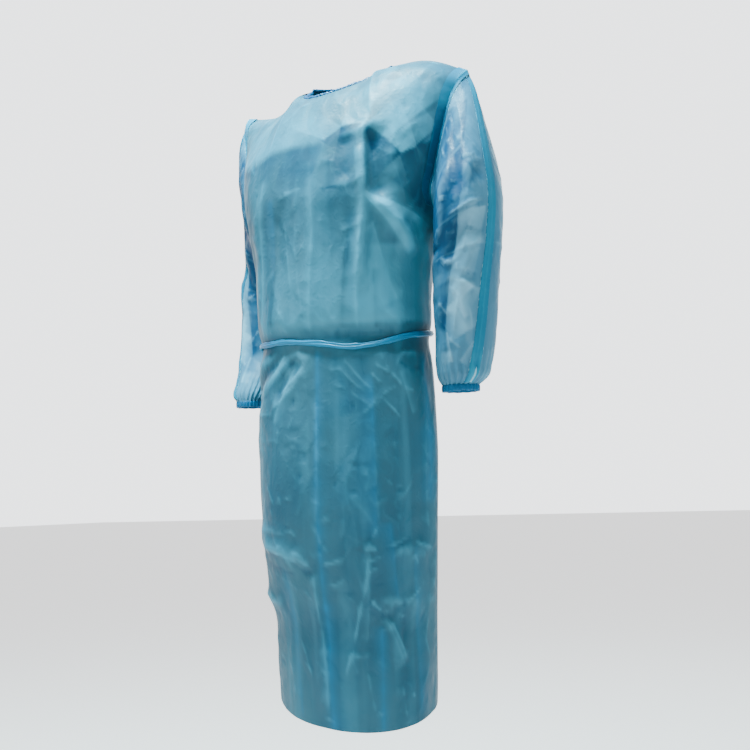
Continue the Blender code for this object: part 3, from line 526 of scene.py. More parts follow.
# The largest folds of a sleeve, as the solids have them, and its creases
SLEEVE_FOLDS = table(
    ROUND_COLUMNS,
    (60, 80, 74, 360, 16, -6), (96, 160, 110, 500, 16, 5), (38, 220, 60, 460, 14, 5),
    (52, 440, 96, 580, 14, -5), (34, 500, 70, 660, 14, 4.5), (70, 620, 52, 900, 13, 4.5),
    (-40, 140, -60, 500, 18, -5), (-84, 200, -78, 620, 18, 5), (-50, 560, -84, 820, 15, -4.5),
)
SLEEVE_CREASES = table(
    SHARP_COLUMNS,
    (28, 405, 98, 385, 10, 4, 5), (58, 230, 24, 365, 5, 6, -4.4), (98, 620, 30, 705, 12, 5, 5),
    (85, 660, 60, 800, 4, 5, 3.2), (68, 690, 82, 860, 4, 4, 2.8), (58, 730, 48, 850, 4, 4, 2.4),
    (152, 450, 108, 500, 6, 7, -5), (84, 20, 72, 170, 5, 5, 3), (52, 15, 54, 230, 5, 5, 3),
    (66, 120, 50, 190, 4, 4, 2.8), (66, 20, 64, 120, 4, 4, -2.6), (110, 540, 80, 600, 5, 4, 3),
    (46, 430, 66, 560, 5, 5, 2.6), (70, 430, 88, 520, 4, 5, -2.6), (120, 700, 90, 780, 5, 5, 3),
    (96, 840, 62, 890, 5, 5, 3.4), (60, 880, 30, 850, 4, 5, 2.8), (140, 620, 128, 840, 6, 5, 3.2),
    (-20, 300, -60, 350, 5, 6, 3.6), (-30, 480, -74, 520, 5, 6, 3.6), (-20, 660, -70, 640, 5, 5, 3.4),
    (-90, 400, -120, 560, 6, 6, 4), (-110, 700, -70, 800, 5, 5, 3.4), (-60, 820, -36, 900, 5, 4, 2.8),
    (-130, 820, -100, 890, 4, 5, 2.8), (-100, 80, -84, 220, 6, 6, 3.4), (-50, 20, -56, 180, 5, 5, 2.6),
    (170, 540, -172, 560, 6, 6, 3),
)


@dataclass(frozen=True)
class BodyForm:
    """The form of the gown's body and the lines on which its panels are cut.

    The sizes are those of the solids: the sections of the body, the tilted round neckline, the shoulder
    line, the armholes, the hem and the lapped opening of the back.
    """

    neck_radius: float = 0.086
    neck_centre_y: float = -0.020
    neck_side_z: float = -0.001
    neck_roll: float = 0.06
    neck_front_tilt: float = 0.54
    neck_back_tilt: float = 0.16
    neck_share: float = 0.5
    neck_back_rise: float = 0.045
    neck_ease_way: float = 0.7
    tip: Place = (0.243, -0.013, -0.030)
    left_crown: tuple[float, float] = (0.0165, 1.0)
    right_crown: tuple[float, float] = (-0.022, 0.7)
    armhole_drop: float = 0.300
    side_seam_turn: float = 108.0
    shoulder_fade_drop: float = 0.30
    hem_low_drop: float = 1.195
    hem_high_drop: float = 1.110
    hem_lowest_turn: float = 33.0
    opening_turn_top: float = 190.0
    opening_turn_hem: float = 216.0
    lap_turns: tuple[float, float] = (128.0, 158.0)
    lap_out: float = 3.4 * MM
    lap_in: float = 2.6 * MM
    fold_radius: float = 0.155
    search_steps: int = 40
    row_spacing: float = 1.25
    neck_back_breadth: float = 0.11
    lean_fade_way: float = 0.8
    hem_gain: float = 1.6
    hem_start: float = 0.6
    folds_start: float = 0.06
    folds_fade: float = 0.08
    sections: Table = table(
        "drop half_width front_depth back_depth centre_x centre_y square",
        (0, 262, 0, 0, 0, -13, 2), (15, 255, 48, 42, 0, -13, 2), (50, 238, 96, 72, 0, -14, 2.1),
        (100, 224, 130, 94, 0, -18, 2.2), (135, 217, 145, 105, 0, -22, 2.3),
        (175, 209, 150, 114, 0, -28, 2.4), (230, 199, 151, 124, 0, -36, 2.45),
        (300, 185, 145, 126, 0, -44, 2.35), (350, 174, 139, 126, 0, -53, 2.2),
        (420, 168, 134, 127, 0, -62, 2.1), (470, 168, 134, 128, 0, -63, 2.05),
        (502, 163, 128, 123, 0, -62, 2), (534, 167, 132, 127, 0, -63, 2.05),
        (600, 170, 134, 134, 0, -64, 2.1), (680, 172, 137, 137, 0, -66, 2.1),
        (830, 168, 134, 135, 0, -68, 2.1), (930, 163, 125, 132, -2, -62, 2.1),
        (1010, 155, 118, 130, -3, -52, 2.1), (1080, 154, 118, 128, -4, -49, 2.1),
        (1220, 149, 115, 126, -4, -50, 2.1),
    )
    armhole: Table = table(
        "way front_drop front_turn back_drop back_turn",
        (0, 0, 68, 0, 112), (180, 47, 72.5, 50, 117), (420, 123, 77, 125, 117.5),
        (650, 200, 79.5, 200, 115), (820, 253, 81, 253, 111.5), (930, 285, 92, 284, 109),
        (1000, 300, 108, 300, 108),
    )

    def value(self, column: str, drop: Array) -> Array:
        """A size of the body's section at a drop."""
        return self.sections.read(column, drop)

    def shoulder_height(self, x: Array) -> Array:
        """The height of the shoulder line: full on the left, hanging a little on the right."""
        share = np.clip((np.abs(x) - self.neck_radius) / (self.tip[0] - self.neck_radius), 0.0, 1.0)
        left, right = (
            height * np.sin(np.pi * share**power) for height, power in (self.left_crown, self.right_crown)
        )
        neck = self.neck_side_z + self.neck_roll * np.clip(x, -self.neck_radius, self.neck_radius)
        return mix(neck, self.tip[2], share) + np.where(x > 0, left, right)

    def points(self, turn: Array, drop: Array) -> Array:
        """Points on the plain form of the body.

        Args:
            turn: Degrees round from the centre front.
            drop: Metres below the shoulder line.

        Returns:
            The points.
        """
        turn, drop = np.broadcast_arrays(np.asarray(turn, float), np.asarray(drop, float))
        sine, cosine = np.sin(np.radians(turn)), np.cos(np.radians(turn))
        power = 2.0 / self.value("square", drop)
        across = signed_power(sine, power) * self.value("half_width", drop)
        depth = np.where(cosine > 0, self.value("front_depth", drop), self.value("back_depth", drop))
        x = self.value("centre_x", drop) + across
        y = self.value("centre_y", drop) - signed_power(cosine, power) * depth
        fade = 1.0 - ease(drop / self.shoulder_fade_drop)
        behind = self.neck_back_rise * np.where(cosine < 0, cosine**2, 0.0)
        rise = behind * np.exp(-((x / self.neck_back_breadth) ** 4))
        return np.stack((x, y, (self.shoulder_height(x) + rise) * fade - drop), axis=-1)

    def outwards(self, points: Array, drop: Array) -> Array:
        """Level directions away from the middle of the body."""
        middle = np.stack((self.value("centre_x", drop), self.value("centre_y", drop)), axis=-1)
        away = points[..., :2] - middle
        return unit(np.concatenate((away, np.zeros_like(away[..., :1])), axis=-1))

    def neckline(self, angle: Array, side: int) -> Array:
        """Points of the neckline on one side, by the angle from 0 at the front to 180 at the back."""
        sine, cosine = np.sin(np.radians(angle)), np.cos(np.radians(angle))
        tilt = np.where(cosine > 0, self.neck_front_tilt, self.neck_back_tilt)
        x, y = side * self.neck_radius * sine, self.neck_centre_y - self.neck_radius * cosine
        z = self.neck_side_z + self.neck_roll * x + tilt * (y - self.neck_centre_y)
        return np.stack((x, y, z), axis=-1)

    def turn_at(self, x: Array, drop: Array) -> Array:
        """The turn, from 0 to 90, at which the form is as wide as x."""
        share = np.clip(np.abs(x) / self.value("half_width", drop), 0.0, 0.999)
        return np.degrees(np.arcsin(share ** (self.value("square", drop) / 2.0)))

    def drop_at(self, x: Array, y: Array, back: bool) -> Array:
        """The drop at which the form passes through x and y.

        Args:
            x: Places across.
            y: Places from front to back.
            back: Whether the places are on the back.

        Returns:
            The drops, found by halving the range again and again.
        """
        low, high = np.zeros_like(x), np.full_like(x, self.armhole_drop / 2)
        for _ in range(self.search_steps):
            middle = (low + high) / 2
            turn = self.turn_at(x, middle)
            found = self.points(HALF_TURN - turn if back else turn, middle)[..., 1]
            short = found < y if back else found > y
            low, high = np.where(short, middle, low), np.where(short, high, middle)
        return (low + high) / 2

    def top_edge(self, share: Array, neck_end: float, side: int) -> Array:
        """The top edge of a panel: along the neckline to the shoulder seam, then out to the tip.

        Args:
            share: 0 at the centre of the gown, and 1 at the tip of the shoulder.
            neck_end: The neckline's angle at the panel's centre edge.
            side: 1 for the wearer's left, -1 for the right.

        Returns:
            The points of the edge.
        """
        neck = self.neckline(mix(neck_end, 90.0, np.clip(share / self.neck_share, 0.0, 1.0)), side)
        way = np.clip((share - self.neck_share) / (1.0 - self.neck_share), 0.0, 1.0)
        x = side * mix(self.neck_radius, self.tip[0], way)
        seam = np.stack((x, mix(self.neck_centre_y, self.tip[1], way), self.shoulder_height(x)), axis=-1)
        return np.where((share < self.neck_share)[..., None], neck, seam)

    def hem_drop(self, turn: Array) -> Array:
        """The drop of the hem."""
        lean = np.radians(turn - self.hem_lowest_turn)
        return mix(self.hem_high_drop, self.hem_low_drop, 0.5 + 0.5 * np.cos(lean))

    def opening_turn(self, drop: Array) -> Array:
        """The turn of the edge of the back opening."""
        return mix(self.opening_turn_top, self.opening_turn_hem, ease(drop / self.hem_high_drop))

    def panel(
        self, columns: int, upper: int, lower: int, back: bool, side: int
    ) -> tuple[Array, Array, Array]:
        """One half of the body, from its centre to its armhole and side seam.

        Args:
            columns: Steps across.
            upper: Steps down to the foot of the armhole.
            lower: Steps from there to the hem.
            back: Whether it is a back half, whose first column is the edge of the opening.
            side: 1 for the wearer's left, -1 for the right.

        Returns:
            Turns, drops and points of the grid.
        """
        share = np.linspace(0.0, 1.0, columns + 1)[None, :]
        way = np.linspace(0.0, 1.0, upper + 1)[:, None] ** self.row_spacing
        face = "back" if back else "front"
        edge_drop, edge_turn = (self.armhole.read(face + word, way) for word in ("_drop", "_turn"))
        opening = self.opening_turn(self.armhole_drop)
        centre_turn = mix(self.opening_turn_top, opening, way) if back else 0.0 * way
        top = self.top_edge(share[0], self.opening_turn_top if back else 0.0, side)
        top_drop = self.drop_at(top[:, 0], top[:, 1], back)
        lean = self.turn_at(top[:, 0], top_drop) * np.sign(top[:, 0]) * side
        top_turn = (HALF_TURN - lean if back else lean)[None, :]

        down = mix(way, edge_drop / self.armhole_drop, share**3)
        drop = mix(top_drop, self.armhole_drop, down)
        even_turn = mix(centre_turn, edge_turn, share)
        start = top_turn + (edge_turn - edge_turn[0]) * share
        turn = mix(start, even_turn, ease(way / self.lean_fade_way))
        points = self.points(side * turn, drop)
        lift = (top - points[0]) * (1.0 - ease(way / self.neck_ease_way))[..., None]
        points = points + lift

        low = np.linspace(self.armhole_drop, self.hem_high_drop, lower + 1)[1:, None]
        centre = self.opening_turn(low) if back else 0.0 * low
        low_turn = mix(centre, self.side_seam_turn, share)
        hem_share = (low - self.armhole_drop) / (self.hem_high_drop - self.armhole_drop)
        hem_share = ease(hem_share * self.hem_gain - self.hem_start)
        low_drop = low + (self.hem_drop(side * low_turn) - self.hem_high_drop) * hem_share
        points = np.concatenate((points, self.points(side * low_turn, low_drop)))
        return side * np.concatenate((turn, low_turn)), np.concatenate((drop, low_drop)), points

    def dressed(self, turn: Array, drop: Array, points: Array, lap: float) -> Array:
        """Adds the solids' folds, and moves the points out or in where the back halves lap.

        Args:
            turn: The turns of the points.
            drop: The drops of the points.
            points: The points on the plain form.
            lap: How far out the lap lies.

        Returns:
            The moved points.
        """
        folds = Folds(BODY_FOLDS, Profile.ROUND, self.fold_radius)
        wrapped = (turn + HALF_TURN) % WHOLE_TURN - HALF_TURN
        away = folds.height(wrapped, drop) * ease((drop - self.folds_start) / self.folds_fade)
        first, last = self.lap_turns
        away = away + lap * ease((np.abs(turn) - first) / (last - first))
        return points + self.outwards(points, drop) * away[..., None]

    def lying(self, turn: Array, drop: Array, clearance: float) -> Array:
        """Points outside both back halves and every fold, for what lies on the body."""
        turn, drop = np.broadcast_arrays(np.asarray(turn, float), np.asarray(drop, float))
        surface = self.dressed(turn, drop, self.points(turn, drop), self.lap_out)
        return surface + self.outwards(surface, drop) * clearance


@dataclass(frozen=True)
class SleeveForm:
    """The form of both sleeves, from the armhole down to the cuff.

    Angles go round from the line over the outer arm, by the front of the arm.
    """

    rings: int = 172
    ring_spacing: float = 1.1
    armhole_ease: float = 0.30
    fold_radius: float = 0.062
    arm: float = 0.60
    gathers: int = 24
    gather_start: float = 0.84
    gather_height: float = 1.5 * MM
    sections: Table = table(
        "way outer_x outer_z inner_x inner_z half_depth left_y right_y right_inset",
        (0, 243, -30, 186, -300, 86, -18, -14, 0), (70, 260, -62, 193, -304, 86, -22, -12, 3),
        (160, 278, -118, 196, -312, 84, -28, 4, 12), (270, 298, -190, 196, -326, 79, -36, 32, 31),
        (390, 312, -262, 195, -346, 73, -42, 58, 23), (520, 311, -335, 192, -382, 66, -46, 58, 5),
        (660, 304, -410, 190, -428, 60, -47, 44, -1), (820, 296, -495, 189, -500, 53, -46, 16, 5),
        (930, 287, -553, 188, -554, 47, -46, -22, 11), (975, 279, -577, 193, -577, 40, -48, -40, 9),
        (1000, 263, -590, 202, -590, 30, -50, -50, 6),
    )
    seam: Table = table(
        "way left_angle right_angle",
        (0, 3, 24), (300, 12, 44), (600, 21, 50), (850, 33, 50), (1000, 42, 50),
    )

    @property
    def ways(self) -> Array:
        """The rings, as shares of the sleeve's length."""
        return np.linspace(0.0, 1.0, self.rings + 1)[:, None] ** self.ring_spacing

    def grid(self, side: Side, armhole: Array) -> Array:
        """A sleeve as rings, with the solids' folds and the gathers above the cuff.

        Args:
            side: Which sleeve.
            armhole: The loop of the armhole, which is the first ring.

        Returns:
            The points, as rings from the armhole to the cuff.
        """
        count = len(armhole)
        angle = np.arange(count) * 2.0 * np.pi / count
        way = self.ways
        over = 0.5 + 0.5 * np.cos(angle)
        read = self.sections.read
        inset = 0.0 if side is Side.LEFT else read("right_inset", way)
        x = mix(read("inner_x", way), read("outer_x", way) - inset, over)
        z = mix(read("inner_z", way), read("outer_z", way), over)
        y = read(side.word + "_y", way) - read("half_depth", way) * np.sin(angle)
        rings = np.stack((x * side.value, y, z), axis=-1)
        rings = mix(armhole + rings - rings[0], rings, ease(way / self.armhole_ease)[..., None])
        degrees = np.degrees((angle + np.pi) % (2 * np.pi) - np.pi)
        height = Folds(SLEEVE_FOLDS, Profile.ROUND, self.fold_radius, self.arm).height(degrees[None, :], way)
        crowd = angle * self.gathers + 0.9 * np.sin(3.0 * angle) + 0.6 * np.sin(5.0 * angle + 1.0)
        crowd = np.cos(crowd) + 0.35 * np.sin(angle * 9.0 + 0.7)
        gathered = ease((way - self.gather_start) / (1.0 - self.gather_start))
        height = height + crowd * self.gather_height * gathered
        middle = rings.mean(axis=1, keepdims=True)
        return rings + unit(rings - middle) * height[..., None]


class Waist:
    """Where the belt runs."""

    FRONT_DROP = 0.501
    BACK_DROP = 0.482
    SAG = 0.019
    SAG_TURN = 38.0
    SAG_SPREAD = 30.0

    @classmethod
    def drop(cls, turn: Array) -> Array:
        """The belt's drop below the shoulder line at a turn."""
        sag = cls.SAG * np.exp(-(((turn - cls.SAG_TURN) / cls.SAG_SPREAD) ** 2))
        return mix(cls.BACK_DROP, cls.FRONT_DROP, 0.5 + 0.5 * np.cos(np.radians(turn))) + sag


@dataclass
class Pattern:
    """The grids of all panels and sleeves, finely divided, with their normals and creases.

    Attributes:
        body: The form of the body.
        arm: The form of the sleeves.
        columns: Steps across each half of the body.
        upper: Steps from the top edge to the foot of the armhole, half the steps round a sleeve.
        lower: Steps from there to the hem.
        seam_calm: How far creases keep from a seam.
        belt_calm: How far they keep from the belt.
        top_calm: How far they keep from the top edge.
        opening_calm: How far they keep from the opening of the back.
        right_back_shift: Degrees by which the creases of the right back differ from the left one's.
        right_sleeve_shift: The same for the right sleeve.
        sleeve_density: Scattered creases for each square metre of a sleeve.
        even_cuff: How far the gathers above a cuff keep to one colour.
        even_fade: The share of a sleeve over which they come to it.
        loop_blend: The share of the way round a sleeve where its scattered creases start to blend.
        cuff_calm: How much shallower the creases are at the cuff.
        cuff_calm_way: Where they start to be so.
    """

    body: BodyForm = field(default_factory=BodyForm)
    arm: SleeveForm = field(default_factory=SleeveForm)
    columns: int = 112
    upper: int = 100
    lower: int = 212
    seam_calm: float = 0.016
    belt_calm: float = 0.011
    top_calm: float = 0.010
    opening_calm: float = 0.012
    right_back_shift: float = 7.0
    right_sleeve_shift: float = 9.0
    sleeve_density: float = 800.0
    even_cuff: float = 0.75
    even_fade: float = 0.08
    loop_blend: float = 0.8
    cuff_calm: float = 0.7
    cuff_calm_way: float = 0.9
    plain: dict[str, Array] = field(default_factory=dict)
    facing: dict[str, Array] = field(default_factory=dict)
    turns: dict[str, Array] = field(default_factory=dict)
    drops: dict[str, Array] = field(default_factory=dict)
    creased: dict[str, Array] = field(default_factory=dict)
    tones: dict[str, dict[str, Array]] = field(default_factory=dict)

    def draft(self) -> None:
        """Works out every grid: first the plain cloth with the solids' folds, then its creases."""
        halves = [self.body.panel(self.columns, self.upper, self.lower, False, side) for side in (-1, 1)]
        right = [part[:, :0:-1] for part in halves[0]]
        turn, drop, points = (np.concatenate(pair, axis=1) for pair in zip(right, halves[1]))
        self.keep("front", turn, drop, self.body.dressed(turn, drop, points, 0.0))
        for side in Side:
            lap = self.body.lap_out if side is Side.LEFT else -self.body.lap_in
            half = self.body.panel(self.columns, self.upper, self.lower, True, side.value)
            turn, drop, points = (part[:, ::-1] for part in half)
            self.keep(side.word, turn, drop, self.body.dressed(turn, drop, points, lap))
        for name, sign in (("front", 1.0), ("left", 1.0), ("right", -1.0)):
            self.facing[name] = sign * normals_of(self.plain[name])
        self.stand_up()
        for side in Side:
            self.join_sleeve(side)
        for side, edge in ((Side.LEFT, -1), (Side.RIGHT, 0)):
            below = np.s_[self.upper + 1:]
            mean = unit(self.facing["front"][below, edge] + self.facing[side.word][below, 0])
            self.facing["front"][below, edge] = mean
            self.facing[side.word][below, 0] = mean
        self.crease_front()
        for side in Side:
            self.crease_back(side)
            self.crease_sleeve(side)

    def keep(self, name: str, turn: Array, drop: Array, points: Array) -> None:
        """Keeps a panel's grid under its name."""
        self.turns[name], self.drops[name], self.plain[name] = turn, drop, points

    def stand_up(self) -> None:
        """Turns the normals along the shoulder seams straight up from the seam."""
        neck = int(self.columns * self.body.neck_share)
        first, last = np.s_[: self.columns - neck + 1], np.s_[self.columns + neck:]
        for name, columns in (("front", first), ("front", last), ("left", first), ("right", first)):
            run = np.gradient(self.plain[name][0, columns], axis=0)
            up = np.cross(run, (0.0, 1.0, 0.0))
            self.facing[name][0, columns] = unit(up * np.sign(up[:, 2:]))

    def join_sleeve(self, side: Side) -> None:
        """Makes a sleeve from the loop of its armhole, with shared normals there."""
        edge = -1 if side is Side.LEFT else 0
        upper = np.s_[: self.upper + 1]
        front, back = self.plain["front"], self.plain[side.word]
        front_facing, back_facing = self.facing["front"], self.facing[side.word]
        loop = np.concatenate((front[upper, edge], back[upper, 0][-2:0:-1]))
        loop_facing = np.concatenate((front_facing[upper, edge], back_facing[upper, 0][-2:0:-1]))
        name = side.sleeve
        self.plain[name] = self.arm.grid(side, loop)
        facing = normals_of(self.plain[name], closed=True) * -side.value
        facing[0] = unit(facing[0] + loop_facing)
        self.facing[name] = facing
        front_facing[upper, edge] = facing[0][: self.upper + 1]
        back_facing[1:self.upper, 0] = facing[0][self.upper + 1:][::-1]
        back_facing[0, 0], back_facing[self.upper, 0] = facing[0][0], facing[0][self.upper]

    def metres(self, name: str, closed: bool = False) -> Pair:
        """How far each point of a grid lies across and along the cloth.

        Args:
            name: The grid.
            closed: Whether it is a tube.

        Returns:
            Metres across from the middle column, and metres along from the last row.
        """
        grid = self.plain[name]
        across = np.cumsum(np.linalg.norm(np.diff(grid, axis=1, prepend=grid[:, :1]), axis=-1), axis=1)
        along = np.cumsum(np.linalg.norm(np.diff(grid, axis=0, prepend=grid[:1]), axis=-1), axis=0)
        middle = 0 if closed else grid.shape[1] // 2
        return across - across[:, middle:middle + 1], along - along[-1:]

    def calm(self, name: str) -> Array:
        """A share, 0 at the seams and edges of a body panel and 1 away from them."""
        across, down = self.metres(name)
        first, last = across - across[:, :1], across[:, -1:] - across
        share = self.off_seam(first) * ease((down - down[:1]) / self.top_calm)
        share = share * (self.off_seam(last) if name == "front" else ease(0.3 + last / self.opening_calm))
        belt = np.abs(self.drops[name] - Waist.drop(self.turns[name])) / self.belt_calm
        return share * ease(belt * 0.5 - 0.1)

    def off_seam(self, distance: Array) -> Array:
        """A share, 0 under a seam's tape and 1 beyond it."""
        return ease((distance - self.seam_calm / 2) / self.seam_calm)

    def crease_front(self) -> None:
        """Creases the front."""
        turn, drop = self.turns["front"], self.drops["front"]
        height = self.body_creases(FRONT_CREASES).height(turn, drop)
        height = height + Crinkles(seed=11).height(*self.metres("front"))
        self.crease("front", height * self.calm("front"))
        self.tint("front", FRONT_TONES, FRONT_SHADES, self.body.fold_radius, 1.0, turn, drop)

    def body_creases(self, rows: Table) -> Folds:
        """The placed creases of the body, in the manner of pressed film."""
        return Folds(rows, Profile.SHARP, self.body.fold_radius, fade=0.34, spread=1.9, lift=0.66, bow=0.05)

    def tint(
        self, name: str, tones: Table, shades: Table, radius: float, length: float, around: Array, way: Array
    ) -> None:
        """Works out where a panel's film is painted vivid, painted pale as painted light, and painted deep as
        painted shade.

        Args:
            name: The panel.
            tones: Where it is painted vivid, and where the height is negative, pale as painted light.
            shades: Where it is painted deep, as painted shade.
            radius: Metres across for each radian round it.
            length: Metres along for each unit of the second coordinate.
            around: The first coordinate of each point.
            way: The second one.
        """
        tone, shade = (
            Folds(rows, Profile.SHARP, radius, length, fade=0.08).height(around, way)
            for rows in (tones, shades)
        )
        self.tones[name] = {"vivid": np.maximum(tone, 0.0), "painted_light": np.maximum(-tone, 0.0), "shade": shade}

    def crease_back(self, side: Side) -> None:
        """Creases a back half, the right one unlike the left."""
        turn, drop = np.abs(self.turns[side.word]), self.drops[side.word]
        shift = 0.0 if side is Side.LEFT else self.right_back_shift
        height = self.body_creases(BACK_CREASES).height(turn + shift, drop + shift * 0.002)
        height = height + Crinkles(seed=23 + side.value).height(*self.metres(side.word))
        self.crease(side.word, height * self.calm(side.word))

    def crease_sleeve(self, side: Side) -> None:
        """Creases a sleeve, with its scattered creases blended where the loop closes."""
        name = side.sleeve
        grid = self.plain[name]
        count = grid.shape[1]
        degrees = (np.arange(count) * WHOLE_TURN / count + HALF_TURN) % WHOLE_TURN - HALF_TURN
        turned = degrees[None, :] + (0.0 if side is Side.LEFT else self.right_sleeve_shift)
        way = np.broadcast_to(self.arm.ways, grid.shape[:2])
        radius, length = self.arm.fold_radius, self.arm.arm
        folds = Folds(
            SLEEVE_CREASES, Profile.SHARP, radius, length, fade=0.34, spread=1.7, lift=0.72, bow=0.05
        )
        height = folds.height(turned, way)
        across, down = self.metres(name, closed=True)
        girth = across[:, -1:] * count / (count - 1.0)
        both = Crinkles(seed=41 + side.value, density=self.sleeve_density).height(
            np.concatenate((across, across - girth), axis=1), np.concatenate((down, down), axis=1)
        )
        blend = ease((across / girth - self.loop_blend) / 0.2)
        height = height + mix(both[:, :count], both[:, count:], blend)
        centre = self.seam_angles(side)[:, None]
        off_tape = np.abs((degrees[None, :] - centre + HALF_TURN) % WHOLE_TURN - HALF_TURN)
        off_tape = off_tape / WHOLE_TURN * girth
        share = self.off_seam(down - down[:1]) * self.off_seam(off_tape)
        cuff = 1.0 - self.cuff_calm * ease((way - self.cuff_calm_way) / 0.1)
        self.crease(name, height * share * cuff)
        self.tint(name, SLEEVE_TONES, SLEEVE_SHADES, radius, length, turned, way)
        self.tones[name]["even"] = self.even_cuff * ease((way - self.arm.gather_start) / self.even_fade)

    def seam_angles(self, side: Side) -> Array:
        """The angle of a sleeve's seam at each ring."""
        return self.arm.seam.read(side.word + "_angle", self.arm.ways[:, 0])

    def crease(self, name: str, height: Array) -> None:
        """Moves a grid's points out by a height, and keeps the result."""
        self.creased[name] = self.plain[name] + self.facing[name] * height[..., None]


def blurred(values: Array, times: int, closed: bool) -> Array:
    """A grid with each point moved to the mean of its neighbours, a number of times.

    Args:
        values: The grid.
        times: How often.
        closed: Whether the last column meets the first.

    Returns:
        The smoother grid.
    """
    for _ in range(times):
        up = np.concatenate((values[:1], values[:-1]))
        down = np.concatenate((values[1:], values[-1:]))
        if closed:
            before, after = np.roll(values, 1, axis=1), np.roll(values, -1, axis=1)
        else:
            before = np.concatenate((values[:, :1], values[:, :-1]), axis=1)
            after = np.concatenate((values[:, 1:], values[:, -1:]), axis=1)
        values = (up + down + before + after + values) / 5.0
    return values


@dataclass(frozen=True)
class Label:
    """A piece's name, its finish, the record's slot for that, which nothing here reads, and the solid that it
    replaces.
    """

    name: str
    finish: str
    slot: str
    solid: str = ""


@dataclass
class Pieces:
    """The making of mesh objects, each with its finish."""

    finishes: dict[str, bpy.types.Material]
    sharp_angle: float = 62.0
    mark_scale: float = 0.55 * MM
    mark_floor: float = 0.15

    def add(
        self, label: Label, vertices: Array, faces: Sequence[Sequence[int]],
        marks: dict[str, Array] | None = None, turn_out: bool = False,
    ) -> bpy.types.Object:
        """Makes one object that rides with the gown.

        Args:
            label: What it is called and made of.
            vertices: The points.
            faces: The faces, as indices of points.
            marks: Values for each point, by name, for the material.
            turn_out: Whether to turn all faces outwards.

        Returns:
            The object.
        """
        mesh = bpy.data.meshes.new(label.name)
        mesh.from_pydata(np.asarray(vertices).reshape(-1, 3).tolist(), [], faces)
        mesh.validate()
        if turn_out:
            solid = bmesh.new()
            solid.from_mesh(mesh)
            bmesh.ops.recalc_face_normals(solid, faces=solid.faces)
            solid.to_mesh(mesh)
            solid.free()
        for mark, values in (marks or {}).items():
            layer = mesh.attributes.new(mark, "FLOAT", "POINT")
            layer.data.foreach_set("value", np.asarray(values, np.float32).ravel())
        mesh.shade_smooth()
        mesh.set_sharp_from_angle(angle=math.radians(self.sharp_angle))
        mesh.materials.append(self.finishes[label.finish])
        obj = placed(label.name, mesh)
        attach(obj, BODY_NAME)
        if label.solid:
            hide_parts(label.solid)
        log.info("%s: %d points, %d faces", label.name, len(mesh.vertices), len(mesh.polygons))
        return obj

    @staticmethod
    def quads(grid: Array) -> Array:
        """The faces between the indices of a grid."""
        return np.stack((grid[:-1, :-1], grid[1:, :-1], grid[1:, 1:], grid[:-1, 1:]), axis=-1).reshape(-1, 4)

    def shell(
        self, label: Label, outer: Array, normals: Array, thickness: float,
        closed: bool = False, coarse: int = 2, tones: dict[str, Array] | None = None,
    ) -> bpy.types.Object:
        """A thin wall of cloth: a fine outer skin, a coarser inner skin and the rims between.

        Args:
            label: What the piece is called and made of.
            outer: The outer skin as a grid, with a number of steps that coarse divides.
            normals: The normals of the grid.
            thickness: How far the inner skin lies within.
            closed: Whether the last column meets the first.
            coarse: Steps of the outer skin for each step of the inner one.
            tones: Values from 0 to 1 over the outer skin, by name, for the material.

        Returns:
            The object.
        """
        rows, columns = outer.shape[:2]
        inner = (outer - normals * thickness)[::coarse, ::coarse]
        skin = np.arange(rows * columns).reshape(rows, columns)
        lining_points = inner.shape[0] * inner.shape[1]
        lining = np.arange(lining_points).reshape(inner.shape[:2]) + skin.size
        if closed:
            skin, lining = (np.concatenate((part, part[:, :1]), axis=1) for part in (skin, lining))
        faces = []
        for part, flip in ((skin, False), (lining, True)):
            faces += self.quads(part)[:, ::-1 if flip else 1].tolist()
        rims = [(skin[0], lining[0], False), (skin[-1], lining[-1], True)]
        if not closed:
            rims += [(skin[:, 0], lining[:, 0], True), (skin[:, -1], lining[:, -1], False)]
        for line, back, flip in rims:
            for place in range(len(back) - 1):
                fine = line[place * coarse:(place + 1) * coarse + 1].tolist()
                face = [*fine, int(back[place + 1]), int(back[place])]
                faces.append(face[::-1] if flip else face)
        row, column = rows // 2, columns // 2
        down = outer[row + 1, column] - outer[row, column]
        across = outer[row, column + 1] - outer[row, column]
        if np.dot(np.cross(down, across), normals[row, column]) < 0:
            faces = [face[::-1] for face in faces]
        rise = ((outer - blurred(outer, 5, closed)) * normals).sum(axis=-1)
        tones = tones or {}
        rise = rise / self.mark_scale * (1.0 - tones.get("even", 0.0))
        # Crests are whitened film along the creases; the troughs get painted shade.
        values = {"crest": rise - self.mark_floor, "trough_shade": -rise - self.mark_floor, **tones}
        marks = {
            mark: np.concatenate((np.clip(value, 0.0, 1.0).ravel(), np.zeros(lining_points)))
            for mark, value in values.items()
        }
        vertices = np.concatenate((outer.reshape(-1, 3), inner.reshape(-1, 3)))
        return self.add(label, vertices, faces, marks)

    def tube(
        self, label: Label, path: Array, frame: Pair, section: Array, closed: bool = False
    ) -> bpy.types.Object:
        """A solid lofted along a path.

        Args:
            label: What the piece is called and made of.
            path: The points of its middle line.
            frame: Two directions across the path at each point.
            section: For each point of the path, the outline as distances along those directions.
            closed: Whether the path is a loop.

        Returns:
            The object.
        """
        first, second = frame
        points = path[:, None] + first[:, None] * section[..., :1] + second[:, None] * section[..., 1:]
        count, sides = points.shape[:2]
        index = np.arange(count * sides).reshape(count, sides)
        ring = np.concatenate((index, index[:, :1]), axis=1)
        if closed:
            ring = np.concatenate((ring, ring[:1]))
        faces = self.quads(ring).tolist()
        if not closed:
            faces += [index[0].tolist(), index[-1][::-1].tolist()]
        return self.add(label, points, faces, turn_out=True)


def reach_along(line: Array) -> Array:
    """How far along a line of points each one lies."""
    return np.concatenate(((0.0,), np.cumsum(np.linalg.norm(np.diff(line, axis=0), axis=1))))


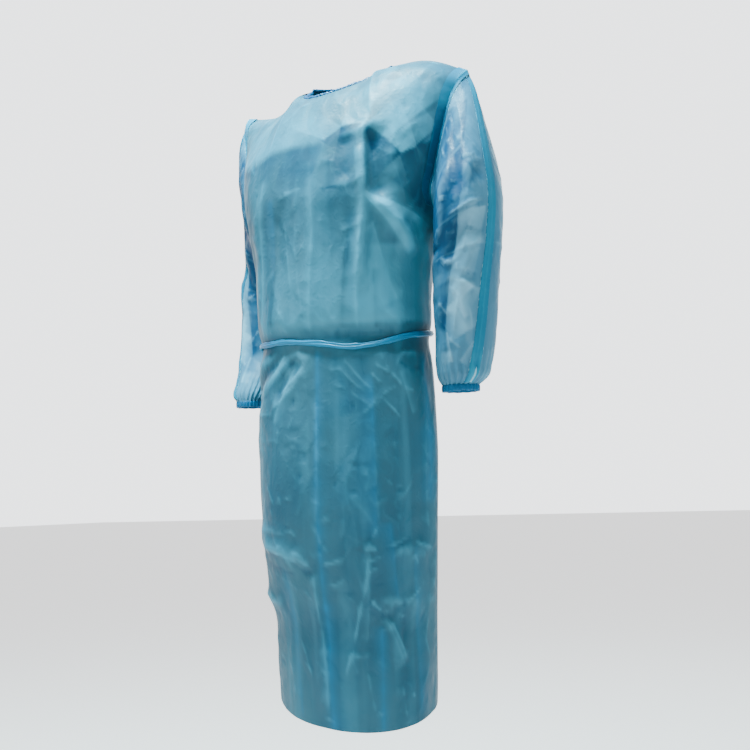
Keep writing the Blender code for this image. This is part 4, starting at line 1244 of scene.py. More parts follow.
def along(line: Array, distances: Iterable[float], values: Array | None = None) -> Array:
    """Points at distances along a line of points, or the values that belong to them.

    Args:
        line: The points.
        distances: The distances from the first one.
        values: What to read there, if not the points.

    Returns:
        The points or values.
    """
    reach = reach_along(line)
    source = line if values is None else values
    return np.stack([np.interp(distances, reach, source[:, axis]) for axis in range(3)], axis=-1)


def frames_along(path: Array, away: Array, closed: bool = False) -> Pair:
    """Two directions across a path, the first as near as can be to the given ones.

    Args:
        path: The points of the path.
        away: A direction at each point.
        closed: Whether the path is a loop.

    Returns:
        The first and second directions.
    """
    if closed:
        run = np.roll(path, -1, axis=0) - np.roll(path, 1, axis=0)
    else:
        run = np.gradient(path, axis=0)
    run = unit(run)
    first = unit(away - run * (away * run).sum(axis=1, keepdims=True))
    return first, np.cross(run, first)


def resampled(path: Array, step: float) -> Array:
    """A path with points at even distances."""
    length = np.linalg.norm(np.diff(path, axis=0), axis=1).sum()
    return along(path, np.linspace(0.0, length, max(int(length / step), 3) + 1))


@dataclass(frozen=True)
class Cut:
    """The flat size of a piece of cloth before it is sewn or hung."""

    width: float
    length: float
    area: float | None = None

    def declare(self, obj: bpy.types.Object, held: str, rests_on: Sequence[str] = ()) -> None:
        """Takes an object as a sheet of this cut, but does nothing with it."""


@dataclass
class Panels:
    """The front, the two back halves and the two sleeves, in film-coated cloth."""

    film: float = 0.9 * MM
    front: Cut = Cut(0.665, 1.22, 0.69)
    back: Cut = Cut(0.34, 1.20, 0.335)
    sleeve: Cut = Cut(0.52, 0.60, 0.187)

    def build(self, pattern: Pattern, pieces: Pieces) -> None:
        """Builds the five panels.

        Args:
            pattern: The grids.
            pieces: Where the objects are made.
        """
        panels = [("front", "front", "front_panel", "coated_cloth", self.front)]
        for side in Side:
            panels.append(
                (side.word, "back_" + side.word, "back_panel_" + side.word, "coated_cloth", self.back)
            )
            panels.append((side.sleeve, side.sleeve, side.sleeve, "sleeve_cloth", self.sleeve))
        for grid, name, solid, finish, cut in panels:
            label = Label("gown_" + name, finish, "coated_cloth", solid)
            piece = pieces.shell(
                label, pattern.creased[grid], pattern.facing[grid], self.film,
                closed=finish == "sleeve_cloth", tones=pattern.tones.get(grid),
            )
            cut.declare(piece, "hung")


@dataclass
class SeamTapes:
    """The welded tape over each armhole seam and each sleeve seam, and the raw edges beside it."""

    width: float = 26 * MM
    sleeve_width: float = 20 * MM
    film: float = 0.45 * MM
    lift: float = 0.8 * MM
    corner_lift: float = 0.9 * MM
    corner_spread: float = 0.35
    tip_lift: float = 1.2 * MM
    tip_rows: float = 14.0
    foot_share: float = 0.90
    on_body: float = 0.68
    # Rows of the tape painted as in shade, how softly that ends, and how deep the painted shade is
    shaded_rows: float = 34.0
    shaded_fade: float = 8.0
    shade: float = 0.85
    pucker: float = 0.45 * MM
    pucker_step: float = 7.5 * MM
    pucker_shift: float = 4 * MM
    pucker_lean: float = 5 * MM
    pucker_widths: tuple[float, float] = (1.4 * MM, 3.4 * MM)
    raw_edge: float = 3.4 * MM
    raw_film: float = 0.15 * MM
    raw_lift: float = 0.05 * MM
    raw_tuck: float = 2 * MM
    sleeve_raw_lift: float = 0.25 * MM
    sleeve_ragged: float = 0.22
    sleeve_corner_lift: float = 0.5 * MM
    sleeve_corner_spread: float = 0.2
    sleeve_gap: float = 1.8 * MM
    places: tuple[float, ...] = (1.0, 0.8, 0.55, 0.3, 0.1)
    raw_places: tuple[float, ...] = (0.9, 0.5, 0.2)
    armhole_cut: Cut = Cut(0.026, 0.58)
    sleeve_cut: Cut = Cut(0.020, 0.56)

    def build(self, pattern: Pattern, pieces: Pieces) -> None:
        """Builds the tapes of both sides.

        Args:
            pattern: The grids.
            pieces: Where the objects are made.
        """
        for side in Side:
            self.armhole(side, pattern, pieces)
            self.sleeve(side, pattern, pieces)

    def puckered(self, points: Array, facing: Array, seed: int, lift: Array) -> Array:
        """Lifts a strip off the cloth, with small puckers across it.

        Args:
            points: The strip's points on the cloth, a row for each step along the seam.
            facing: Their normals.
            seed: Starts the random draws.
            lift: How far each point is lifted.

        Returns:
            The lifted points.
        """
        random = np.random.default_rng(seed)
        rows, columns = points.shape[:2]
        reach = reach_along(points[:, columns // 2])
        height = np.zeros((rows, columns))
        across = np.linspace(-1.0, 1.0, columns)
        for place in np.arange(0.0, reach[-1], self.pucker_step):
            centre = place + random.uniform(-self.pucker_shift, self.pucker_shift)
            lean = random.uniform(-self.pucker_lean, self.pucker_lean)
            wide = random.uniform(*self.pucker_widths)
            offset = (reach[:, None] - centre - lean * across[None, :]) / wide
            reach_across = np.clip(random.uniform(0.2, 1.4) - np.abs(across - random.uniform(-1, 1)), 0, 1)
            height += random.uniform(-1.0, 1.0) * np.exp(-np.abs(offset) ** 1.5) * reach_across[None, :]
        return points + facing * (lift + np.clip(height, -0.8, 1.6) * self.pucker)[..., None]

    def armhole(self, side: Side, pattern: Pattern, pieces: Pieces) -> None:
        """Builds the tape over one armhole seam, with the raw edges that show past it."""
        upper = pattern.upper + 1
        sleeve, sleeve_facing = pattern.creased[side.sleeve], pattern.facing[side.sleeve]
        front = pattern.creased["front"][:upper, ::-side.value]
        front_facing = pattern.facing["front"][:upper, ::-side.value]
        back, back_facing = pattern.creased[side.word], pattern.facing[side.word]
        count = sleeve.shape[1]
        foot = int(pattern.upper * self.foot_share)
        rows = [(front[row], front_facing[row], row) for row in range(foot, -1, -1)]
        rows += [(back[row], back_facing[row], (count - row) % count) for row in range(1, foot + 1)]
        half = self.width / 2
        bodily_share, outer_share = 2.0 * self.on_body, 2.0 - 2.0 * self.on_body
        for raw, film, lift in ((False, self.film, self.lift), (True, self.raw_film, self.raw_lift)):
            points, facing = [], []
            random = np.random.default_rng(5 + side.value)
            for index, (line, line_facing, loop) in enumerate(rows):
                ragged = self.raw_edge * random.random() ** 1.5 * (1 + 0.7 * math.sin(index * 0.21 + 1.0))
                bodily = np.array(self.raw_places if raw else self.places) * half * bodily_share
                outer = np.array(self.places[::-1]) * half * outer_share
                if raw:
                    outer = np.array((self.raw_tuck, half * outer_share, half * outer_share + ragged))
                arm, arm_facing = sleeve[:, loop], sleeve_facing[:, loop]
                points.append(np.concatenate((along(line, bodily), arm[:1], along(arm, outer))))
                facing.append(np.concatenate((
                    along(line, bodily, line_facing), arm_facing[:1], along(arm, outer, arm_facing),
                )))
            points, facing = np.array(points), unit(np.array(facing))
            across = np.linspace(-1.0, 1.0, points.shape[1])
            from_tip = (np.arange(len(points)) - foot) / self.tip_rows
            raised = lift + self.corner_lift * np.exp(-((across / self.corner_spread) ** 2))[None, :]
            raised = raised + self.tip_lift * np.exp(-(from_tip ** 2))[:, None]
            points = self.puckered(points, facing, 60 + side.value, np.broadcast_to(raised, points.shape[:2]))
            # Painted shade: the tape's lower rows on the front, turned away from the light, are painted deep
            # blue.
            from_shade = foot - self.shaded_rows - np.arange(len(points))
            shade = self.shade * ease(from_shade / self.shaded_fade)
            if side is Side.RIGHT:
                points, facing, shade = points[::-1], facing[::-1], shade[::-1]
            shade = np.broadcast_to(shade[:, None], points.shape[:2])
            self.lay("armhole", side, raw, (points, facing), film, pieces, {"shade": shade})

    def lay(
        self, seam: str, side: Side, raw: bool, places: Pair, film: float, pieces: Pieces,
        tones: dict[str, Array] | None = None,
    ) -> None:
        """Args:
            seam: Which seam: armhole or sleeve.
            side: The side it is on.
            raw: Whether it is the raw edge of the cloth rather than the tape.
            places: Its points and their normals.
            film: Its thickness.
            pieces: Where the object is made.
            tones: Values over the strip for the material.
        """
        label = Label(f"{seam}_seam_strip_{side.word}", "seam_tape", "seam_tape", f"{seam}_tape_{side.word}")
        if raw:
            label = Label(f"{seam}_raw_edge_{side.word}", "raw_edge", "neck_trim")
        steps = (len(places[0]) - 1) // 2 * 2 + 1
        points, facing = (part[:steps] for part in places)
        tones = {name: values[:steps] for name, values in (tones or {}).items()}
        obj = pieces.shell(label, points, facing, film, coarse=1, tones=tones)
        if not raw:
            sleeve = "gown_" + side.sleeve
            if seam == "armhole":
                self.armhole_cut.declare(obj, "folded", ["gown_front", sleeve])
            else:
                self.sleeve_cut.declare(obj, "hung", [sleeve])

    def sleeve(self, side: Side, pattern: Pattern, pieces: Pieces) -> None:
        """Builds the tape down one sleeve's seam, with the raw edge that shows past it."""
        grid = pattern.creased[side.sleeve]
        facing = pattern.facing[side.sleeve]
        reach = np.cumsum(np.linalg.norm(np.diff(grid[:, 0], axis=0), axis=1))
        start = int(np.searchsorted(reach, self.width / 2 + self.sleeve_gap)) + 1
        rows = np.arange(start, len(grid) - 1)
        angles = pattern.seam_angles(side)[rows]
        girth = np.linalg.norm(grid[rows] - np.roll(grid[rows], 1, axis=1), axis=-1).sum(axis=1)
        half = self.sleeve_width / 2 / girth * WHOLE_TURN
        random = np.random.default_rng(9 + side.value)
        for raw, places, film, lift in (
            (False, np.linspace(-1.0, 1.0, 11), self.film, self.lift),
            (True, np.array((-1.12, -0.9, 0.0, 0.9, 1.12)), self.raw_film, self.sleeve_raw_lift),
        ):
            turned = angles[:, None] + half[:, None] * places[None, :]
            if raw:
                for edge in (0, -1):
                    turned[:, edge] -= places[edge] * half * self.sleeve_ragged * random.random(len(rows))
            points, normals = (self.ring_places(source, rows, turned) for source in (grid, facing))
            ridge = np.exp(-((places / self.sleeve_corner_spread) ** 2))[None, :]
            raised = lift + self.sleeve_corner_lift * ridge * (not raw)
            points = self.puckered(
                points, unit(normals), 70 + side.value, np.broadcast_to(raised, points.shape[:2])
            )
            self.lay("sleeve", side, raw, (points, unit(normals)), film, pieces)

    @staticmethod
    def ring_places(source: Array, rows: Array, angles: Array) -> Array:
        """Values of a sleeve's grid at angles on its rings."""
        count = source.shape[1]
        place = (angles / WHOLE_TURN * count) % count
        first = place.astype(int) % count
        share = (place - np.floor(place))[..., None]
        return mix(source[rows[:, None], first], source[rows[:, None], (first + 1) % count], share)


@dataclass
class NeckBinding:
    """The narrow gathered binding folded over the neckline, open at the centre back."""

    half_height: float = 3.6 * MM
    half_depth: float = 2.3 * MM
    beyond: float = 1.9 * MM
    under: float = 0.5 * MM
    step: float = 1.3 * MM
    sides: int = 16
    smoothings: int = 12
    cut: Cut = Cut(0.011, 0.56)

    def build(self, pattern: Pattern, pieces: Pieces) -> None:
        """Builds the binding.

        Args:
            pattern: The grids.
            pieces: Where the object is made.
        """
        neck = int(pattern.columns * pattern.body.neck_share)
        last = pattern.columns
        stretches = (
            ("right", range(last, last - neck, -1)),
            ("front", range(last - neck, last + neck + 1)),
            ("left", range(last - neck + 1, last + 1)),
        )
        places = [(name, column) for name, columns in stretches for column in columns]
        edge = np.array([pattern.plain[name][0, column] for name, column in places])
        facing = np.array([pattern.facing[name][0, column] for name, column in places])
        facing = unit(blurred(facing[:, None], self.smoothings, False)[:, 0])
        out = unit(np.cross(facing, np.gradient(edge, axis=0)))
        path = resampled(edge - facing * self.under + out * self.beyond, self.step)
        count = len(path)
        reach = np.arange(count) * self.step
        fade = np.linspace(0.0, 1.0, len(facing))
        even = np.linspace(0.0, 1.0, count)
        facing = unit(np.stack([np.interp(even, fade, facing[:, axis]) for axis in range(3)], axis=-1))
        wobble = wave(reach, ((0.35 * MM, 0.0093, 0.3), (0.3 * MM, 0.0067, 2.0), (0.5 * MM, 0.031, 1.0)))
        path = path + facing * wobble[:, None]
        first, second = frames_along(path, facing)
        gather = wave(
            reach, ((0.16, 0.0071, 0.0), (0.11, 0.0112, 1.4), (0.07, 0.0049, 4.0), (0.10, 0.027, 2.0))
        )
        angle = round_angles(self.sides)[None, :]
        swell = 1.0 + gather[:, None] * (0.6 + 0.4 * np.cos(angle + reach[:, None] * 90.0))
        deep, high = np.cos(angle) * self.half_depth * swell, np.sin(angle) * self.half_height * swell
        section = np.stack((deep, high), axis=-1)
        label = Label("neck_binding_gathered", "neck_trim", "neck_trim", "neck_binding")
        obj = pieces.tube(label, path, (first, second), section)
        self.cut.declare(obj, "gathered", ["gown_front"])


@dataclass
class Cuffs:
    """The blue elastic that gathers the end of each sleeve."""

    half_height: float = 5.9 * MM
    half_depth: float = 1.7 * MM
    gathers: int = 26
    gather_depth: float = 0.75 * MM
    clearance: float = 0.4 * MM
    below: float = 4.6 * MM
    squareness: tuple[float, float] = (0.6, 0.75)
    sides: int = 20
    smoothings: int = 10
    cut: Cut = Cut(0.017, 0.20)

    def build(self, pattern: Pattern, pieces: Pieces) -> None:
        """Builds both cuffs.

        Args:
            pattern: The grids.
            pieces: Where the objects are made.
        """
        for side in Side:
            ring = pattern.plain[side.sleeve][-1]
            middle = ring.mean(axis=0)
            spokes = level(ring - middle)
            radius = np.linalg.norm((ring - middle)[:, :2], axis=1)
            radius = blurred(np.stack((radius, radius)), self.smoothings, True)[0]
            path = middle + spokes * (radius + self.clearance)[:, None]
            path[:, 2] = middle[2] - (ring[:, 2].max() - middle[2]) - self.below
            count = len(path)
            turn = np.arange(count) * 2.0 * np.pi / count
            crowd = np.cos(turn * self.gathers + 0.8 * np.sin(3 * turn)) + 0.4 * np.cos(turn * 17 + 1.0)
            angle = round_angles(self.sides)[None, :]
            rounded = signed_power(np.cos(angle), self.squareness[0])
            tall = signed_power(np.sin(angle), self.squareness[1])
            deep = self.half_depth * rounded + self.gather_depth * crowd[:, None] * (0.6 + 0.4 * rounded)
            high = self.half_height * tall * (1.0 + 0.05 * np.sin(turn * 11 + side.value)[:, None])
            section = np.stack(np.broadcast_arrays(deep, high), axis=-1)
            name = "cuff_" + side.word
            label = Label(name + "_elastic", "cuff_elastic", "cuff_elastic", name)
            obj = pieces.tube(label, path, (spokes, alike((0.0, 0.0, 1.0), path)), section, closed=True)
            self.cut.declare(obj, "stretched", ["gown_" + side.sleeve])


@dataclass
class Belt:
    """The long tie of the same cloth, rolled narrow round the waist and knotted at the back."""

    half_height: float = 4.3 * MM
    half_depth: float = 2.9 * MM
    clearance: float = 3.9 * MM
    step: float = 2.6 * MM
    sides: int = 36
    knot_size: Place = (0.016, 0.009, 0.013)
    knot_reach: float = 0.95
    knot_cover: float = 0.55
    knot_cord: float = 3.9 * MM
    knot_sides: int = 20
    knot_steps: int = 60
    waist_steps: int = 400
    waist_radius: float = 0.17
    end_length: float = 0.266
    end_clearance: float = 1.2 * MM
    end_top: tuple[float, float] = (2.6 * MM, 3.2 * MM)
    end_tip: tuple[float, float] = (1.3 * MM, 7.2 * MM)
    end_steps: int = 60
    solid_clearance: float = 1.6 * MM
    cut: Cut = Cut(0.017, 1.02)
    end_cut: Cut = Cut(0.018, 0.27)

    @staticmethod
    def label(name: str, solid: str) -> Label:
        """The label of a piece of the belt."""
        return Label(name, "belt_cloth", "coated_cloth", solid)

    def pleats(self, count: int, seed: int, height: float, depth: float) -> Array:
        """The outline of a strip that is folded and rolled, changing slowly along its length.

        Args:
            count: How many outlines.
            seed: Starts the random draws.
            height: Half the height of the strip.
            depth: Half its depth.

        Returns:
            The outlines.
        """
        random = np.random.default_rng(seed)
        at = np.arange(count)[:, None] * self.step
        angle = round_angles(self.sides)[None, :]
        ripple = np.zeros((count, self.sides))
        for lobes, size in ((3, 0.10), (5, 0.13), (7, 0.09), (11, 0.05)):
            start = random.uniform(0, ANY_PHASE)
            phase = start + wave(at, ((1.2, 0.21, random.uniform(0, 6)), (0.6, 0.083, 1.0)))
            ripple += size * np.sin(lobes * angle + phase)
        wide = 1.0 + wave(at, ((0.10, 0.17, 1.0), (0.08, 0.071, 2.0), (0.05, 0.031, 0.5)))
        squash = 1.0 + wave(at, ((0.10, 0.12, 0.2), (0.08, 0.053, 1.1)))
        deep = np.cos(angle) * depth * squash * (1.0 + ripple)
        high = np.sin(angle) * height * wide * (1.0 + ripple)
        return np.stack((deep, high), axis=-1)

    def build(self, pattern: Pattern, pieces: Pieces) -> None:
        """Builds the belt, its knot and its two ends.

        Args:
            pattern: The grids.
            pieces: Where the objects are made.
        """
        body = pattern.body
        half_girth = body.value("half_width", np.array(Waist.BACK_DROP)) + self.clearance
        half_turn = math.degrees(self.knot_size[0] * self.knot_reach * self.knot_cover / half_girth)
        turns = np.linspace(-HALF_TURN + half_turn, HALF_TURN - half_turn, self.waist_steps)
        at = turns / RADIAN * self.waist_radius
        drop = Waist.drop(turns) + wave(at, ((0.9 * MM, 0.23, 0.4), (0.5 * MM, 0.09, 2.0)))
        path = resampled(body.lying(turns, drop, self.clearance), self.step)
        frame = frames_along(path, level(path - path.mean(axis=0)))
        section = self.pleats(len(path), 3, self.half_height, self.half_depth)
        belt = pieces.tube(self.label("belt_round_waist", "waist_belt"), path, frame, section)
        self.cut.declare(belt, "gathered", ["gown_front"])
        self.knot(body, pieces)
        self.ends(body, pieces)

    def knot(self, body: BodyForm, pieces: Pieces) -> None:
        """Builds the knot as one cord of cloth drawn through itself."""
        centre = body.lying(HALF_TURN, Waist.BACK_DROP, self.solid_clearance + self.knot_size[1])
        turn = round_angles(self.knot_steps)
        thick = self.knot_cord
        x = (np.sin(turn) + 2 * np.sin(2 * turn)) / 3.0 * (self.knot_size[0] - thick)
        z = (np.cos(turn) - 2 * np.cos(2 * turn)) / 3.0 * (self.knot_size[2] - thick)
        y = -np.sin(3 * turn) * (self.knot_size[1] - thick) * 0.8
        path = centre + np.stack((x, y, z), axis=-1)
        frame = frames_along(path, alike((0.0, 1.0, 0.0), path), closed=True)
        angle = round_angles(self.knot_sides)[None, :]
        ripple = 1.0 + 0.13 * np.sin(5 * angle + 0.6) + 0.07 * np.sin(3 * angle + turn[:, None])
        deep, high = np.cos(angle) * thick * 0.9 * ripple, np.sin(angle) * thick * 1.1 * ripple
        section = np.stack((deep, high), axis=-1)
        pieces.tube(self.label("belt_knot_drawn", "belt_knot"), path, frame, section, True)

    def ends(self, body: BodyForm, pieces: Pieces) -> None:
        """Builds the two free ends, which hang flat from the knot."""
        for side, turn, swing in ((Side.LEFT, 177.6, -3.0), (Side.RIGHT, 182.4, 4.0)):
            share = np.linspace(0.0, 1.0, self.end_steps)
            drop = Waist.BACK_DROP + self.knot_size[2] * self.knot_cover + self.end_length * share
            path = body.lying(turn + swing * ease(share), drop, self.clearance + self.end_clearance)
            path = resampled(path, self.step)
            count = len(path)
            spread = np.linspace(0.0, 1.0, count)[:, None]
            deep = mix(self.end_top[0], self.end_tip[0], spread)
            high = mix(self.end_top[1], self.end_tip[1], ease(spread))
            section = self.pleats(count, 7 + side.value, 1.0, 1.0) * np.stack((deep, high), axis=-1)
            frame = frames_along(path, alike((0.0, 1.0, 0.0), path))
            name = "belt_end_" + side.word
            obj = pieces.tube(self.label(name + "_strip", name), path, frame, section)
            self.end_cut.declare(obj, "hung", ["belt_knot_drawn"])


def set_inputs(tree: bpy.types.NodeTree, node: bpy.types.Node, values: dict[str | int, object]) -> None:
    """Links sockets to a node's inputs, and sets the inputs that have plain values.

    Args:
        tree: The node's tree.
        node: The node.
        values: A socket or a value for each input.
    """
    for name, value in values.items():
        if isinstance(value, Socket):
            tree.links.new(value, node.inputs[name])
        else:
            node.inputs[name].default_value = value


def add_node(
    tree: bpy.types.NodeTree, kind: str, values: dict[str | int, object] | None = None, **settings: str
) -> bpy.types.Node:
    """Adds a shader node.

    Args:
        tree: Where it goes.
        kind: Its kind.
        values: A socket or a value for each input that is set.
        settings: Its other settings.

    Returns:
        The node.
    """
    node = tree.nodes.new("ShaderNode" + kind)
    for name, value in settings.items():
        setattr(node, name, value)
    set_inputs(tree, node, values or {})
    return node


@dataclass(frozen=True)
class Finish:
    """The look of one material.

    Attributes:
        name: The material's name.
        deep: The colour of thick places and deep streaks, and the painted shade in troughs and shaded places.
        vivid: The colour where the film doubles over, and painted shade by the armpits.
        base: The main colour.
        pale: The colour of whitened crests and streaks, and the painted light where the film is lit.
        rough: Lowest and highest roughness.
        coat: How much gloss the film adds.
        mottle: How much the colour wanders.
        crumple: The depth of the fine crumples.
        grain: The depth of the finest grain.
        streaks: Whether the colour runs in upright streaks.
    """

    name: str
    deep: Colour
    vivid: Colour
    base: Colour
    pale: Colour
    rough: tuple[float, float]
    coat: float
    mottle: float
    crumple: float
    grain: float
    streaks: bool = False

    def material(self) -> bpy.types.Material:
        """Makes the material from nodes.

        Returns:
            The material.
        """
        made = bpy.data.materials.new(self.name)
        made.use_nodes = True
        tree = made.node_tree
        place = add_node(tree, "TexCoord").outputs["Object"]

        def noise(
            scale: float, stretch: float, detail: float, kind: str = "FBM", warp: float = 0.0
        ) -> Socket:
            """A noise over the cloth, at a scale in waves per metre and a stretch upright."""
            mapping = add_node(tree, "Mapping", {"Vector": place, "Scale": (1.0, 1.0, stretch)})
            sizes = {"Scale": scale, "Detail": detail, "Roughness": 0.55, "Distortion": warp}
            return add_node(
                tree, "TexNoise", {"Vector": mapping.outputs["Vector"], **sizes}, noise_type=kind
            ).outputs["Fac"]

        def ramp(value: Socket, low: float, high: float, first: float, last: float) -> Socket:
            """A value moved from one range to another."""
            ends = {"From Min": low, "From Max": high, "To Min": first, "To Max": last}
            return add_node(tree, "MapRange", {"Value": value, **ends}).outputs["Result"]

        def blend(factor: Socket, first: Colour | Socket, second: Colour | Socket) -> Socket:
            """A mix of two colours."""
            first, second = (
                colour if isinstance(colour, Socket) else (*colour, 1.0) for colour in (first, second)
            )
            return add_node(tree, "Mix", {"Factor": factor, 6: first, 7: second}, data_type="RGBA").outputs[2]

        def mark(name: str, strength: float) -> Socket:
            """A value that is kept at each point of the mesh."""
            kept = add_node(tree, "Attribute", attribute_name=name).outputs["Fac"]
            return ramp(kept, 0.0, 1.0, 0.0, strength)

        cloud = ramp(noise(7.0, 0.6, 3.0), 0.35, 0.65, 0.0, self.mottle)
        colour = blend(cloud, self.base, self.deep)
        if self.streaks:
            colour = blend(ramp(noise(22.0, 0.05, 2.0, warp=0.1), 0.52, 0.74, 0.0, 0.16), colour, self.pale)
            colour = blend(ramp(noise(13.0, 0.06, 2.0), 0.50, 0.70, 0.0, 0.30), colour, self.deep)
        # Painted light: the lit places are blended towards pale.
        colour = blend(mark("painted_light", 0.55), colour, self.pale)
        # Vivid blue where the film doubles over, and painted shade by the armpits.
        colour = blend(mark("vivid", 0.85), colour, self.vivid)
        # Painted shade: the shaded places are blended towards deep.
        colour = blend(mark("shade", 0.95), colour, self.deep)
        lines = ramp(noise(34.0, 0.7, 2.0, RIDGED, 0.4), 0.95, 1.30, 0.0, 0.16)
        colour = blend(lines, colour, self.pale)
        # Painted shade in the troughs of the creases; the crests are whitened film.
        colour = blend(mark("trough_shade", 0.40), colour, self.deep)
        colour = blend(mark("crest", 0.24), colour, self.pale)

        normal = {}
        for height, depth in (
            (noise(30.0, 0.75, 3.0, RIDGED, 0.5), self.crumple),
            (noise(110.0, 0.9, 2.0, RIDGED, 0.3), self.crumple * 0.25),
            (noise(900.0, 1.0, 1.0), self.grain),
        ):
            bump = add_node(tree, "Bump", {"Strength": 1.0, "Distance": depth, "Height": height, **normal})
            normal = {"Normal": bump.outputs["Normal"]}
        set_inputs(tree, tree.nodes["Principled BSDF"], {
            "Base Color": colour, "Roughness": ramp(noise(55.0, 0.8, 3.0), 0.3, 0.7, *self.rough),
            "Specular IOR Level": 0.16, "Coat Weight": self.coat, "Coat Roughness": 0.22, "IOR": 1.42,
            **normal,
        })
        return made


FINISHES = (
    Finish("coated_cloth", (0.002, 0.034, 0.076), (0.002, 0.150, 0.290), (0.032, 0.114, 0.158),
           (0.074, 0.430, 0.600), (0.38, 0.54), 0.0, 0.40, 1.7 * MM, 0.04 * MM, True),
    # The sleeves' finish is the same cloth painted paler, as painted light: their single layer is lit
    # through.
    Finish("sleeve_cloth", (0.000, 0.034, 0.090), (0.002, 0.130, 0.270), (0.060, 0.200, 0.300),
           (0.280, 0.600, 0.760), (0.38, 0.54), 0.0, 0.40, 1.7 * MM, 0.04 * MM, True),
    Finish("belt_cloth", (0.001, 0.080, 0.190), (0.001, 0.190, 0.340), (0.001, 0.170, 0.310),
           (0.010, 0.340, 0.490), (0.30, 0.44), 0.06, 0.45, 0.40 * MM, 0.05 * MM),
    Finish("seam_tape", (0.000, 0.060, 0.130), (0.000, 0.180, 0.310), (0.000, 0.175, 0.285),
           (0.000, 0.370, 0.520), (0.40, 0.54), 0.04, 0.50, 0.30 * MM, 0.03 * MM),
    Finish("raw_edge", (0.060, 0.240, 0.340), (0.060, 0.240, 0.340), (0.160, 0.400, 0.500),
           (0.480, 0.720, 0.800), (0.45, 0.65), 0.05, 0.60, 0.30 * MM, 0.10 * MM),
    Finish("neck_trim", (0.002, 0.036, 0.100), (0.004, 0.080, 0.180), (0.006, 0.080, 0.180),
           (0.110, 0.380, 0.540), (0.34, 0.50), 0.10, 0.60, 0.40 * MM, 0.08 * MM),
    Finish("cuff_elastic", (0.002, 0.050, 0.130), (0.004, 0.120, 0.250), (0.004, 0.120, 0.250),
           (0.050, 0.320, 0.500), (0.40, 0.55), 0.10, 0.50, 0.40 * MM, 0.12 * MM),
)


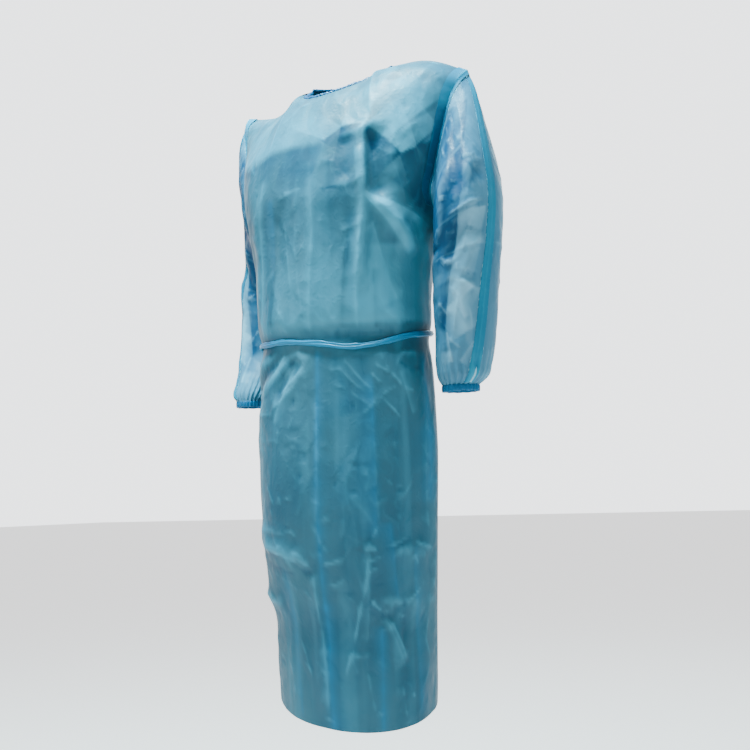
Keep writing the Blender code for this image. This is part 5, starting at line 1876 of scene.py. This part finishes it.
@dataclass
class Studio:
    """The pale floor, the soft lights and the camera of the photograph's view."""

    floor_z: float = -1.42
    floor_reach: float = 30.0
    azimuth: float = 32.93
    distance: float = 2.4879
    height: float = -0.777
    focal: float = 1321.0
    centre: tuple[float, float] = (364.76, 494.829)
    roll: float = 0.03
    frame: float = 750.0
    sensor: float = 36.0
    ambient: tuple[float, float] = (0.20, 3.0)
    tint: Colour = (0.58, 0.93, 1.0)

    def build(self) -> None:
        """Builds the floor, the world, the lights and the camera."""
        self.floor()
        self.world()
        self.lamp("softbox_above", (-0.14, -0.46, 1.50), (0.0, -0.16, -0.2), (0.75, 0.45), 300.0)
        self.lamp("softbox_left", (-1.9, -1.8, 0.5), (0.0, 0.0, -0.5), (0.3, 0.8), 27.0)
        self.lamp("softbox_right", (2.3, 0.4, 0.7), (0.2, 0.0, -0.4), (0.5, 0.9), 22.0)
        self.lamp("softbox_behind", (0.0, 2.3, 0.9), (0.0, 0.0, -0.5), (1.6, 1.4), 20.0)
        self.camera()

    def floor(self) -> None:
        """A plain pale floor."""
        mesh = bpy.data.meshes.new("studio_floor")
        reach = self.floor_reach
        corners = [(-reach, -reach, 0), (reach, -reach, 0), (reach, reach, 0), (-reach, reach, 0)]
        mesh.from_pydata(corners, [], [(0, 1, 2, 3)])
        paint = bpy.data.materials.new("studio_floor")
        paint.use_nodes = True
        set_inputs(paint.node_tree, paint.node_tree.nodes["Principled BSDF"], {
            "Base Color": (0.42, 0.38, 0.37, 1.0), "Roughness": 0.8,
            "Emission Color": (0.98, 0.99, 1.0, 1.0), "Emission Strength": 1.3,
        })
        mesh.materials.append(paint)
        obj = placed("studio_floor", mesh)
        obj.location.z = self.floor_z

    def world(self) -> None:
        """Dim light from all round with a bright wall behind the gown, and a pale backdrop on all sides."""
        world = bpy.data.worlds.new("studio_world")
        world.use_nodes = True
        tree = world.node_tree
        turn = math.radians(self.azimuth)
        towards = add_node(tree, "VectorMath", {
            0: add_node(tree, "TexCoord").outputs["Generated"], 1: (-math.sin(turn), math.cos(turn), 0.0),
        }, operation="DOT_PRODUCT")
        dim, bright = self.ambient
        wall = add_node(tree, "MapRange", {
            "Value": towards.outputs["Value"], "From Min": 0.55, "From Max": 0.93,
            "To Min": dim, "To Max": bright,
        }, interpolation_type="SMOOTHSTEP")
        seen = add_node(tree, "LightPath").outputs["Is Camera Ray"]
        pale = add_node(tree, "Math", {0: seen, 1: bright}, operation="MULTIPLY")
        either = add_node(
            tree, "Math", {0: pale.outputs["Value"], 1: wall.outputs["Result"]}, operation="MAXIMUM"
        )
        set_inputs(tree, tree.nodes["Background"], {
            "Color": (0.94, 0.97, 1.0, 1.0), "Strength": either.outputs["Value"],
        })
        bpy.context.scene.world = world

    def lamp(
        self, name: str, place: Place, target: Place, size: tuple[float, float], power: float
    ) -> None:
        """A rectangular soft light.

        Args:
            name: Its name.
            place: Where it stands.
            target: What it points at.
            size: Its width and height.
            power: Its power in watts.
        """
        light = bpy.data.lights.new(name, "AREA")
        light.shape = "RECTANGLE"
        light.size, light.size_y = size
        light.energy = power
        light.color = self.tint
        obj = placed(name, light)
        obj.location = place
        obj.rotation_euler = (Vector(target) - Vector(place)).to_track_quat("-Z", "Y").to_euler()

    def camera(self) -> None:
        """The camera, level and turned a little about its own axis."""
        turn = math.radians(self.azimuth)
        right = Vector((math.cos(turn), math.sin(turn), 0.0))
        back = Vector((math.sin(turn), -math.cos(turn), 0.0))
        up = Vector((0.0, 0.0, 1.0))
        rolled_right = right * math.cos(self.roll) - up * math.sin(self.roll)
        rolled_up = up * math.cos(self.roll) + right * math.sin(self.roll)
        lens = bpy.data.cameras.new("photo_camera")
        lens.sensor_width = self.sensor
        lens.lens = self.focal / self.frame * self.sensor
        half = self.frame / 2
        dx, dy = self.centre[0] - half, self.centre[1] - half
        x = dx * math.cos(self.roll) + dy * math.sin(self.roll)
        y = -dx * math.sin(self.roll) + dy * math.cos(self.roll)
        lens.shift_x, lens.shift_y = -x / self.frame, y / self.frame
        obj = placed("photo_camera", lens)
        matrix = Matrix((rolled_right, rolled_up, back)).transposed().to_4x4()
        matrix.translation = back * self.distance + up * self.height
        obj.matrix_world = matrix
        bpy.context.scene.camera = obj


def main() -> None:
    """Builds the studio, then the gown from its panels to its belt."""
    logging.basicConfig(level=logging.INFO, format="%(name)s: %(message)s")
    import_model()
    Studio().build()
    pieces = Pieces({finish.name: finish.material() for finish in FINISHES})
    pattern = Pattern()
    pattern.draft()
    for part in (Panels(), SeamTapes(), NeckBinding(), Cuffs(), Belt()):
        part.build(pattern, pieces)
        log.info("%s built", type(part).__name__)


if __name__ == "__main__":
    main()
